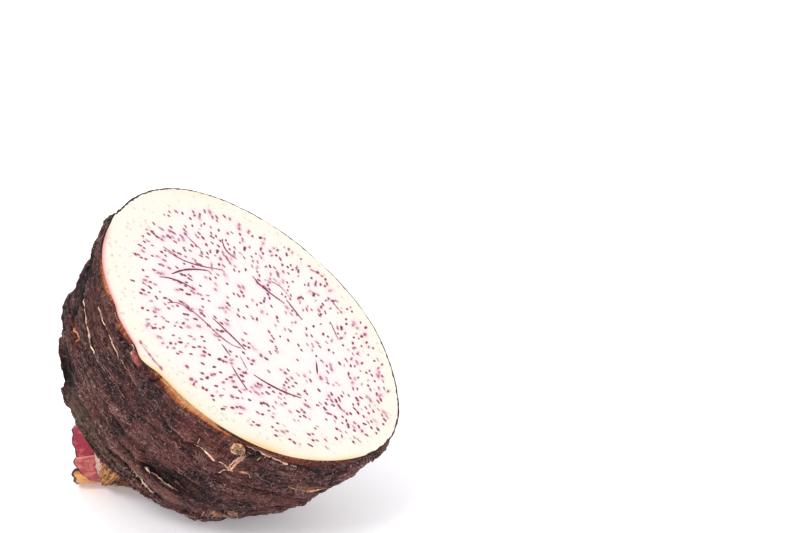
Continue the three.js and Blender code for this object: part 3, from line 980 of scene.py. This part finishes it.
def ribbon(route, width, lift, jitter, step=0.5):
    """Rows of three points along a route on the bark: a low ridge with ragged margins."""
    middle = along([(math.radians(a) * BARK_RADIUS, d) for a, d in route], step)
    rows = []
    for i, (place, way) in enumerate(zip(middle, headings(middle))):
        taper = math.sin(math.pi * (i + 0.6) / (len(middle) + 0.2)) ** 0.5
        wander = jitter * noise.noise(Vector((place[0] * 0.9, place[1] * 0.9, 5.0)))
        swell = noise.noise(Vector((place[0] * 0.45, place[1] * 0.45, 9.0)))
        thick = width * taper * (0.85 + 0.9 * swell + 0.35 * draw.random())
        row = []
        for across, up in ((-0.5, -0.25), (0, lift * taper), (0.5, -0.25)):
            offset = across * thick + wander
            at = (place[0] - way[1] * offset, place[1] + way[0] * offset)
            row.append(on_bark_at(at[0] / BARK_RADIUS, at[1], up)[0])
        rows.append(row)
    return rows


torn_points, torn_faces, torn_cream = [], [], []


def prism_faces(start, rows, under=(0, 3, 5, 2)):
    """The faces of a closed strip with three points in a row."""
    end = start + 3 * (rows - 1)
    faces = [tuple(a + corner for corner in side)
             for a in range(start, end, 3) for side in ((0, 1, 4, 3), (1, 2, 5, 4), under)]
    return faces + [(start, start + 2, start + 1), (end, end + 1, end + 2)]


def add_ribbon(rows, cream):
    torn_faces.extend(prism_faces(len(torn_points), len(rows)))
    for row in rows:
        torn_points.extend(row)
        torn_cream.extend([cream + draw.uniform(-0.25, 0.15)] * 3)


for route, width, cream in TORN_EDGES:
    add_ribbon(ribbon(route, width, 0.45, 0.3), cream)
for aside, width in ((-0.42, 0.75), (0.05, 0.9), (0.5, 0.75)):
    stalk = [(a + math.degrees(aside / BARK_RADIUS), d) for a, d in ROOT_STALK]
    add_ribbon(ribbon(stalk, width, 0.75 - 0.4 * abs(aside), 1.1, 0.4), 0.62)
torn = piece_from("torn_bark_edges", torn_points, torn_faces)
face_outwards()
keep(torn, cream=unit(torn_cream))

TORN_CREAM = (0.94, 0.69, 0.50)
TORN_TAN = (0.48, 0.19, 0.11)
lip = Finish("torn_edge")
lip_noise = lip.noise_inside(600, 4, 0.7)
lip_mixed = lip.add("cream", lip.level(lip_noise, 0.3, 0.7, -0.5, 0.3))
lip.colour = lip.mix(lip.level(lip_mixed, 0.1, 0.9), TORN_TAN, TORN_CREAM)
torn_material = lip.finish(
    Roughness=0.75, Specular_IOR_Level=0.15, Normal=lip.bump(lip_noise, 0.0004, 0.5))
lay_in_frame(torn, torn_material)


# ---- The root scar and the bud ----------------------------------------------------------------
# A root has come away just under the rim and left a corky ring round a brown core. Further up the
# rim sits a side bud: a pinkish tip that the knife grazed, half under a dark pointed scale.

STUBS = (  # name, angle, depth, half size down and across, height, how cream, pink share
    ("root_scar_core", *ROOT_SCAR, (1.8, 1.8), 1.0, 0.5, 0.0),
    ("bud_tip", 171.6, 1.9, (1.9, 3.1), 0.9, 0.1, 1.0),
    ("bud_scale", 177.6, 2.3, (1.6, 2.9), 0.75, 0.0, 0.0),
    ("root_stub", 239.5, 47, (1.8, 2.6), 1.1, 0.3, 0.2),
    ("root_stub_low", 242.5, 42.6, (1.3, 2.0), 0.9, 0.4, 0.2),
)
STUB_BROWN = (0.085, 0.034, 0.020)
STUB_CREAM = (0.72, 0.39, 0.20)
STUB_PINK = (0.44, 0.060, 0.062)
STUB_SPECK = (0.06, 0.022, 0.014)
cork = Finish("corky_stub")
stub_noise = cork.noise_inside(700, 5, 0.7)
cork.colour = cork.mix("cream", STUB_BROWN, STUB_CREAM)
cork.tint(STUB_PINK, "pink")
cork.tint(STUB_SPECK, stub_noise, 0.46, 0.6, 0.0, 0.9)
stub_material = cork.finish(Roughness=0.7, Normal=cork.bump(stub_noise, 0.0012, 0.8))


def bark_frame(angle_degrees, depth):
    """Where a piece sits on the bark: x down the axis, y around, z straight out."""
    near = [on_bark_at(math.radians(angle_degrees + aside), depth + below, 0)
            for aside in (-2, 0, 2) for below in (-1.6, 0, 1.6)]
    spot = sum((place for place, _ in near), Vector()) / len(near)
    out = sum((normal for _, normal in near), Vector()).normalized()
    down = (Vector((0, 0, -1)) - out * -out.z).normalized()
    turn = Matrix((down, out.cross(down), out)).transposed().to_4x4()
    return Matrix.Translation(spot) @ turn


def finish_stub(piece, place, cream, pink):
    """Roughens a stub and lays it on the bark. The core is darker at its middle, the bud creamy on
    its lower side.
    """
    points = mesh_points(piece)
    rough = noise_at(points + place.translation, 1.1)
    move_points(piece, points + point_normals(piece) * 0.3 * rough[:, None])
    darker_middle = 0.5 * np.exp(-((points[:, 0] ** 2 + points[:, 1] ** 2) / 0.35))
    darker_middle *= piece.name == "root_scar_core"
    lower = unit(0.8 * points[:, 0] + 1.1 * rough + 0.1) * (piece.name == "bud_tip")
    keep(piece, cream=unit(cream + 0.8 * rough - darker_middle + 0.8 * lower),
         pink=unit(pink + 0.2 * rough - 0.75 * lower) * (pink > 0))
    # The bud scale's own dark colour rides in the layer that holds painted shade on the bark.
    if piece.name == "bud_scale":
        keep(piece, grain=points * 1.2 + place.translation, ridge=0.3 + 0.5 * rough, scar=0.5,
             black=0.45 + 0.3 * rough)
    bpy.ops.object.shade_smooth()
    piece.data.transform(place)
    points = mesh_points(piece)
    points[:, 2] = np.minimum(points[:, 2], -0.05)  # nothing stands over the knife cut
    move_points(piece, points)
    lay_in_frame(piece, bark_material if piece.name == "bud_scale" else stub_material)


for name, at, deep, (half_down, half_across), high, cream, pink in STUBS:
    deselect_all()
    bpy.ops.mesh.primitive_uv_sphere_add(segments=48, ring_count=28, radius=1)
    stub = name_piece(name)
    points = mesh_points(stub)
    if "bud" in name:  # pointed at its lower end
        points[:, 1] *= np.clip(1 - 0.55 * np.maximum(points[:, 0], 0) ** 1.5, 0.1, 1)
    move_points(stub, points * (half_down, half_across, high))
    finish_stub(stub, bark_frame(at, deep), cream, pink)

deselect_all()
bpy.ops.mesh.primitive_torus_add(
    major_radius=1.75, minor_radius=0.72, major_segments=64, minor_segments=16)
finish_stub(name_piece("root_scar_ring"), bark_frame(*ROOT_SCAR), 0.75, 0.0)


# ---- Loose fibres and shreds ------------------------------------------------------------------
# The leaf bases have worn away to dry fibres: shreds hang from the scars, and single fibres lie
# over the bark, mostly down the axis, with their ends lifting off.

STRANDS_OF_BARK = 760
DEEPEST = 76  # no fibre lies beyond this depth, where the shoot begins
BARE_RIM = (178, 218, 5)  # from and to angle, and depth, of the rim that fibres leave bare
HAIRS_AND_FRAYS = (  # how many, and ranges: depth, length, heading, bend, thickness, rise, how pale
    (24, (1, 72), (2.5, 7), (-3, 3), 0.12, (0.05, 0.09), (0.3, 1.3), (0.1, 0.6)),
    (150, (0.9, 2.6), (1, 3), (1.2, 5.1), 0.2, (0.07, 0.14), (0.3, 1.1), (0, 0.5)),
)
TUFTS = (  # angle, depth, spread in degrees and millimetres, how many, how pale
    (240.5, 47, 2.2, 1.8, 26, 0.7),
    (243, 42.5, 1.8, 1.3, 18, 0.7),
    (229.5, 14, 2.0, 1.2, 9, 0.35),
    (211, 16.5, 2.0, 1.0, 8, 0.35),
    (251, 17, 2.5, 1.2, 16, 0.6),
    (40, 42, 6.0, 3.0, 30, 0.5),
    (300, 49, 6.0, 3.0, 30, 0.5),
)
SHREDS = 330
SHRED_THICKNESS = 0.14
PALE_FIBRE = (0.62, 0.37, 0.28)
DARK_FIBRE = (0.095, 0.043, 0.045)
fibre = Finish("dry_fibre")
fibre.colour = fibre.mix("pale", DARK_FIBRE, PALE_FIBRE)
fibre.tint(DARK_AND_SHADE, fibre.noise_inside(900, 3, 0.7), 0.35, 0.65, 0.6, 0)
fibre_material = fibre.finish(Roughness=0.75)

fibre_points, fibre_faces, fibre_pale = [], [], []


def add_fibre(angle, deep, length, heading, bend, thick, rise, shade, steps=6):
    """A thin three-sided fibre laid on the bark, its far end lifted off by rise."""
    rows = []
    for i in range(steps):
        radius = max(12, BARK_RADIUS * (1 - (deep / BARK_DEPTH) ** APEX_CURVE) ** 0.45)
        rows.append(on_bark_at(angle, deep, thick * 0.6 + rise * (i / (steps - 1)) ** 2))
        deep = min(max(0.5, deep + math.cos(heading) * length / (steps - 1)), DEEPEST)
        angle += math.sin(heading) * length / (steps - 1) / radius
        heading += bend + draw.gauss(0, 0.09)
    rim_from, rim_to, rim_depth = BARE_RIM
    on_bare_rim = rim_from < math.degrees(angle) % 360 < rim_to and deep < rim_depth
    if on_bare_rim or any(row[0].z > -0.25 for row in rows):
        return
    fibre_faces.extend(prism_faces(len(fibre_points), steps, under=(2, 0, 3, 5)))
    for i, (spot, out) in enumerate(rows):
        ahead = (rows[min(i + 1, steps - 1)][0] - rows[max(i - 1, 0)][0]).normalized()
        slim = math.sin(math.pi * (0.12 + 0.8 * i / (steps - 1))) ** 0.5
        side = ahead.cross(out).normalized() * thick * slim
        lift = out * thick * slim * 0.6
        fibre_points.extend([spot + side - lift, spot + lift, spot - side - lift])
        fibre_pale.extend([shade] * 3)


for _ in range(STRANDS_OF_BARK):
    angle, deep = draw.uniform(0, 2 * math.pi), draw.uniform(1, 74)
    lean = noise.noise(Vector((2.5 * math.cos(angle), 2.5 * math.sin(angle), deep * 0.07)))
    runs_down = deep < 9 or lean > 0.25
    heading = draw.gauss(0, 0.3)
    heading += 0 if runs_down else math.copysign(math.pi / 2, draw.random() - 0.5)
    shade = 0.16 * draw.random() ** 1.5 if draw.random() < 0.94 else draw.uniform(0.25, 0.55)
    add_fibre(angle, deep, draw.uniform(2, 6), heading, draw.gauss(0, 0.04), draw.uniform(0.08, 0.16),
              0.05 if draw.random() < 0.85 else draw.uniform(0.3, 0.9), shade, 7)
for count, depths, lengths, ways, bend, thicks, rises, shades in HAIRS_AND_FRAYS:
    for _ in range(count):
        add_fibre(draw.uniform(0, 2 * math.pi), draw.uniform(*depths), draw.uniform(*lengths),
                  draw.uniform(*ways), draw.gauss(0, bend), draw.uniform(*thicks),
                  draw.uniform(*rises), draw.uniform(*shades))
for at, down, wide, high, count, pale in TUFTS:
    for _ in range(count):
        add_fibre(math.radians(draw.gauss(at, wide)), draw.gauss(down, high),
                  draw.uniform(1.2, 4.5), draw.gauss(1.2, 0.9), draw.gauss(0, 0.2),
                  draw.uniform(0.12, 0.34), draw.uniform(0.3, 1.8), pale * draw.uniform(0.1, 1.0))
fibres = piece_from("loose_fibres", fibre_points, fibre_faces)
face_outwards()
keep(fibres, pale=np.array(fibre_pale))
lay_in_frame(fibres, fibre_material)

shred_points, shred_faces, shred_grain, shred_ridge = [], [], [], []
for _ in range(SHREDS):
    ring = draw.randint(1, SCARS - 2)
    angle = draw.uniform(0, 2 * math.pi)
    span, drop = draw.uniform(0.03, 0.13), draw.uniform(0.6, 2.0)
    rise, shade = draw.uniform(0.1, 0.9), draw.uniform(-0.4, 0.8)
    start = len(shred_points)
    for i in range(8):
        turn = angle + span * (i / 7 - 0.5)
        edge = float(scar_depth(turn, ring + 0.0))
        if edge < 1.5:
            continue
        reach = drop * math.sin(math.pi * (i + 0.5) / 8) ** 0.5 * draw.uniform(0.35, 1.15)
        place = BARK_RADIUS * math.cos(turn), BARK_RADIUS * math.sin(turn)
        for j in range(3):
            down = edge - 0.9 + (reach + 0.6) * j / 2
            shred_points.append(on_bark_at(turn, min(down, DEEPEST), 0.06 + rise * (j / 2) ** 2)[0])
            shred_grain.append((*place, down * 1.3))
            # ridge is lowest at the root of each shred: painted shade under its scar.
            shred_ridge.append(shade + 0.3 * j)
    for a in range(start, len(shred_points) - 3, 3):
        shred_faces += [(a + j, a + j + 1, a + j + 4, a + j + 3) for j in range(2)]
shreds = piece_from("bark_shreds", shred_points, shred_faces)
keep(shreds, grain=np.array(shred_grain), ridge=np.array(shred_ridge), scar=0.5)
thicken(shreds, SHRED_THICKNESS, -1)
face_outwards()
lay_in_frame(shreds, bark_material)


# ---- The shoot -------------------------------------------------------------------------------
# A stump of leaf sheaths, rolled tight round each other and cut short: crimson inside, then a rose
# sheath, then a yellow one, each fleshy with a thin dry margin. It stands in the collar at the apex.

SHOOT_BASE = Vector((1.2, 8.6, -83.2))
SHOOT_DIRECTION = Vector((-0.56, 0.55, -0.61)).normalized()
up_in_corm = corm_turn.inverted().to_3x3() @ Vector((0, 0, 1))
shoot_front = up_in_corm.cross(SHOOT_DIRECTION).normalized()
shoot_up = SHOOT_DIRECTION.cross(shoot_front)
shoot_turn = Matrix((shoot_front, shoot_up, SHOOT_DIRECTION)).transposed().to_4x4()
shoot_place = corm_place @ Matrix.Translation(SHOOT_BASE) @ shoot_turn

CRIMSON = (0.42, 0.024, 0.055)
ROSE = (0.40, 0.065, 0.085)
SALMON = (0.46, 0.088, 0.100)
BLUSH = (0.74, 0.33, 0.29)
YELLOW = (0.80, 0.47, 0.12)
OCHRE = (0.66, 0.30, 0.11)
BURNT_EDGE = (0.045, 0.012, 0.012)
VEIN_TINT = (0.62, 0.30, 0.36)
PALE_BLUSH = (0.78, 0.30, 0.24)
DEEP_CRIMSON = (0.30, 0.035, 0.075)
SHEATHS = (  # name, margins from the top through the front, ends, radii, near colour, end colour
    ("inner_roll", (-170, 190), (15.2, 13.4), (9.3, 10.3), ROSE, CRIMSON),
    ("second_roll", (-60, 300), (14.4, 13.6), (6.3, 8.5), CRIMSON, ROSE),
    ("third_roll", (40, 400), (14.6, 14.0), (3.7, 5.9), CRIMSON, ROSE),
    ("heart_roll", (0, 360), (14.0, 13.2), (0.6, 3.3), ROSE, SALMON),
    ("back_sheath", (-135, -22), (13.5, 14.6), (10.0, 10.7), ROSE, SALMON),
    ("yellow_sheath", (98, 250), (17.8, 17.0), (10.9, 11.9), OCHRE, YELLOW),
    ("rose_sheath", (76, 205), (16.6, 1.0), (11.4, 12.3), ROSE, SALMON),
)
SHEATH_FOOT = -1.5
leaf = Finish("leaf_sheath")
sheath_grain = leaf.attribute("grain", "Vector")
sheath_lines = leaf.stretched_noise(sheath_grain, (1, 1, 0.1), 1.3, 5, 0.65)
sheath_blush = leaf.stretched_noise(sheath_grain, (1, 1, 0.5), 0.35, 4, 0.6)
leaf.colour = leaf.attribute("tint", "Color")
leaf.tint(VEIN_TINT, sheath_lines, 0.35, 0.65, 0.75, 0, blend="MULTIPLY")
leaf.tint(PALE_BLUSH, sheath_blush, 0.5, 0.68, 0, 0.65)
leaf.tint(DEEP_CRIMSON, sheath_blush, 0.5, 0.34, 0, 0.7)
leaf.tint(BLUSH, "margin", 0.3, 0.9, 0, 0.8)
burnt_ragged = leaf.add("burnt", leaf.level(sheath_lines, 0.3, 0.7, -0.2, 0.2))
leaf.tint(BURNT_EDGE, burnt_ragged, 0.3, 0.6)
sheath_material = leaf.finish(
    Roughness=0.42, Specular_IOR_Level=0.3, Normal=leaf.bump(sheath_lines, 0.0008, 0.7))


def noise_round(angle, height, pace, slide):
    """Noise over the wall of a sleeve: pace is how quickly it changes round it."""
    lift = height + slide + 0 * angle
    return noise_at(np.column_stack([pace * np.cos(angle), pace * np.sin(angle), lift]), 1)


def round_shoot(radius, angle, height):
    return np.column_stack([radius * np.sin(angle), radius * np.cos(angle), height])


for name, (start, stop), ends, (inner, outer), near_colour, end_colour in SHEATHS:
    sheath, across, up = grid_piece(name, 90, 44)
    across = 1 - across
    margin_at = np.minimum(across, 1 - across)
    angle = np.radians(start + (stop - start) * across)
    end = ends[0] + (ends[1] - ends[0]) * across**1.4 - 1.3 * unit(1 - margin_at / 0.1) ** 2
    if name == "inner_roll":  # cut slanting: it stands highest at the top
        end = sum(ends) / 2 + 1.8 * np.cos(angle - 0.3)
    end += 0.55 * noise_round(angle, 0, 4, outer)
    height = SHEATH_FOOT + (end - SHEATH_FOOT) * up
    radius = (inner + outer) / 2 * (1 - 0.05 * up**4)
    radius += 0.3 * noise_round(angle, height * 0.1, 1.5, outer)
    move_points(sheath, round_shoot(radius, angle, height))
    blend = unit(1.25 * up**1.6 + 0.15 * noise_round(angle, height * 0.2, 2, 7))[:, None]
    tint = np.array(near_colour) * (1 - blend) + np.array(end_colour) * blend
    layer = sheath.data.attributes.new("tint", "FLOAT_COLOR", "POINT")
    layer.data.foreach_set("color", np.column_stack([tint, np.ones(len(tint))]).ravel())
    side_gap = margin_at * math.radians(stop - start) * outer
    if name == "yellow_sheath":  # dry along its sides as well as at its end
        burnt = falloff(np.minimum(end - height, side_gap), 1.0)
    else:
        burnt = falloff(end - height, 0.5)
    keep(sheath, grain=round_shoot(10, angle, height), burnt=burnt,
         margin=falloff(side_gap, 0.5) * (name == "rose_sheath"))
    thicken(sheath, outer - inner)
    round_edges = sheath.modifiers.new("round_edges", "BEVEL")
    round_edges.width = 0.2
    round_edges.segments = 2
    round_edges.angle_limit = SOFT_EDGE
    bpy.ops.object.modifier_apply(modifier=round_edges.name)
    face_outwards(smooth=True)
    lay_in_frame(sheath, sheath_material, shoot_place, "shoot")


# ---- The collar ------------------------------------------------------------------------------
# Dry leaf bases clasp the shoot where it leaves the apex: tan and brown, thick with fibres, their
# torn upper ends still cream. They are the same tissue as the corm and grow fast to it.

COLLAR_LAYERS = (  # from and to angle, inner height, outer height, radius, tilt outwards
    (84, 240, -16, 5.6, 12.5, 0.5),
    (100, 190, -15, 3.4, 13.3, 0.7),
    (125, 225, -17, 0.5, 13.9, 0.6),
    (40, 150, -18, -1.0, 13.2, 0.4),
)
SKIRT_FOOT = (  # angle and depth on the bark
    (148, 62), (170, 62.5), (182, 63), (190, 63.5), (198, 63.5), (206, 64.5), (216, 68))
SKIRT_TIP_TURN = (56, 196)  # round the shoot
SKIRT_TIP_RADIUS = 12.7
SKIRT_TIP_HEIGHT = 7.8
LEAF_BASE_THICKNESS = 0.6
SKIRT_THICKNESS = 0.7
UNDER_STRAP = 1.2  # how far the leaf base stays below the outside of the torn strap
HUSK_DARK = (0.055, 0.020, 0.010)
HUSK_BROWN = (0.42, 0.15, 0.06)
HUSK_GOLD = (0.70, 0.34, 0.13)
HUSK_PALE = (0.80, 0.54, 0.27)
HUSK_CREAM = (0.92, 0.62, 0.50)
HUSK_RED = (0.075, 0.018, 0.015)
husk = Finish("dry_leaf_base")
husk_grain = husk.attribute("grain", "Vector")
husk_lines = husk.stretched_noise(husk_grain, (1, 1, 0.35), 1.1, 6, 0.75)
husk_patches = husk.stretched_noise(husk_grain, (1, 1, 0.6), 0.3, 3, 0.6)
husk.colour = husk.ramp(husk_lines, (
    (0.41, HUSK_DARK), (0.48, HUSK_BROWN), (0.555, HUSK_GOLD), (0.65, HUSK_PALE)))
red_at = husk.add("low", husk.level(husk_patches, 0.4, 0.7, -0.3, 0.3))
husk.tint(HUSK_RED, red_at, 0.35, 0.7, 0, 0.8)
cream_end = husk.add("end", husk.level(husk_lines, 0.35, 0.65, -0.5, 0.3))
cream_lines = husk.level(husk_lines, 0.38, 0.58, 0.45, 1)
husk.tint(HUSK_CREAM, cream_end, 0.3, 0.75, 0, 0.95, by=cream_lines)
# Painted shade at the foot of the outer leaf base, where it runs under the torn strap.
husk.tint(HUSK_DARK, "shade")
husk_material = husk.finish(
    Roughness=0.75, Specular_IOR_Level=0.15, Normal=husk.bump(husk_lines, 0.0022, 0.9))

for number, (start, stop, low, high, radius_out, tilt) in enumerate(COLLAR_LAYERS):
    leaf_base, across, up = grid_piece(f"leaf_base_{number + 2}", 120, 70)
    across = 1 - across
    angle = np.radians(start + (stop - start) * across)
    arch = np.sin(math.pi * np.clip(across, 0.02, 0.98)) ** 0.5
    ragged = noise_round(angle, 0, 7, number) + 0.5 * noise_round(angle, 0, 18, number)
    height = low + (high - low) * up * (0.5 + 0.5 * arch) + 1.1 * ragged * up
    radius = radius_out + tilt * up**2 - 0.6 * (1 - arch)
    radius += 0.5 * noise_round(angle, height * 0.15, 4, number)
    radius += 0.3 * noise_round(angle, height * 0.6, 12, number)
    move_points(leaf_base, round_shoot(radius, angle, height))
    keep(leaf_base, grain=round_shoot(12, angle, height), end=unit((up - 0.93) / 0.05) * 0.5,
         low=unit((np.degrees(angle) - 150) / 25) * (number != 0))
    thicken(leaf_base, LEAF_BASE_THICKNESS)
    bpy.ops.object.shade_smooth_by_angle(angle=SOFT_EDGE)
    lay_in_frame(leaf_base, husk_material, shoot_place)


# The outermost leaf base spreads from under the last strap of bark up to a torn lobe on the shoot.
into_corm = Matrix.Translation(SHOOT_BASE) @ shoot_turn
columns = np.linspace(0, 1, 97)
foot_angle = np.interp(columns, np.linspace(0, 1, len(SKIRT_FOOT)), [a for a, _ in SKIRT_FOOT])
foot_depth = np.interp(foot_angle, *np.transpose(SKIRT_FOOT))
foot = np.array([on_bark_at(math.radians(a), d, 0.1, [bark_tree])[0]
                 for a, d in zip(foot_angle, foot_depth)])
tip_turn = np.radians(np.interp(columns, (0, 1), SKIRT_TIP_TURN))
tip_height = SKIRT_TIP_HEIGHT - 3.2 * ((columns - 0.5) / 0.5) ** 2
tip_height += 0.7 * noise_round(tip_turn, 0, 6, 3)
tip = np.array([into_corm @ Vector(p) for p in round_shoot(SKIRT_TIP_RADIUS, tip_turn, tip_height)])
axis_point = np.array(into_corm @ Vector((0, 0, -6)))


def tuck_under(points, tree):
    """Points that would come through a strap are pushed in towards the corm's axis, under it."""
    for i, point in enumerate(points):
        core = axis_at(-point[2])
        outward = (Vector(point) - core).normalized()
        hit = tree.ray_cast(core + outward * OUTSIDE, -outward)[0]
        if hit and -UNDER_STRAP < (Vector(point) - hit) @ outward < 3:
            points[i] = hit - outward * UNDER_STRAP
    return points


skirt, across, up = grid_piece("leaf_base_1", 140, 60)
from_foot = np.column_stack([np.interp(across, columns, line) for line in foot.T])
to_tip = np.column_stack([np.interp(across, columns, line) for line in tip.T])
spread = from_foot + (to_tip - from_foot) * up[:, None]
outward = spread - axis_point
outward /= np.linalg.norm(outward, axis=1)[:, None]
belly = 1.6 * np.sin(math.pi * up) ** 0.8 + 0.55 * noise_at(spread, 0.35)
belly += 0.45 * noise_at(spread, 1.1) + 0.8 * falloff(across - 0.3, 0.14) * up
move_points(skirt, tuck_under(spread + outward * belly[:, None], laid_trees[1]))
# shade darkens its foot: painted shade under the strap.
keep(skirt, grain=np.column_stack([across * 34, up * 3, up * 15]),
     end=unit((up - 0.35) / 0.25) * unit((0.44 - across) / 0.08),
     low=unit((across - 0.66) / 0.12) * unit((0.9 - up) / 0.3),
     shade=unit((0.2 - up) / 0.14))
thicken(skirt, SKIRT_THICKNESS)
face_outwards(smooth=True)
lay_in_frame(skirt, husk_material)


# ---- Floor, light and camera -----------------------------------------------------------------
# A plain pale floor, a soft key light from the upper left with a weak one from the right, an even
# pale surround, and a long lens that looks down a little at the corm.

deselect_all()
bpy.ops.mesh.primitive_plane_add(size=6)
floor = name_piece("floor")
floor.data.materials.append(Finish("floor", (0.90, 0.89, 0.915, 1)).finish(
    Roughness=0.6, Emission_Color=(1, 0.97, 1, 1), Emission_Strength=0.23))

world = bpy.data.worlds.new("surround")
bpy.context.scene.world = world
world.use_nodes = True
surround = world.node_tree.nodes["Background"].inputs
surround["Color"].default_value = (1, 1, 1, 1)
surround["Strength"].default_value = 1.05


def soft_sun(name, place, spread, power):
    sun = bpy.data.lights.new(name, "SUN")
    sun.angle = math.radians(spread)
    sun.energy = power
    sun_object = bpy.data.objects.new(name, sun)
    sun_object.rotation_euler = Vector(place).to_track_quat("Z", "Y").to_euler()
    bpy.context.collection.objects.link(sun_object)


soft_sun("key", (-0.35, -0.6, 0.8), 20, 1.25)
soft_sun("fill", (0.6, -0.7, 0.5), 60, 0.3)

CAMERA_PLACE = (0.05986, -0.59948, 0.28544)
CAMERA_PITCH = 18  # degrees below level
LENS_LENGTH = 85
SENSOR_WIDTH = 36

lens = bpy.data.cameras.new("camera")
lens.lens = LENS_LENGTH
lens.sensor_width = SENSOR_WIDTH
camera = bpy.data.objects.new("camera", lens)
camera.location = CAMERA_PLACE
camera.rotation_euler = (math.radians(90 - CAMERA_PITCH), 0, 0)
bpy.context.collection.objects.link(camera)
bpy.context.scene.camera = camera
bpy.context.scene.view_settings.view_transform = "Standard"
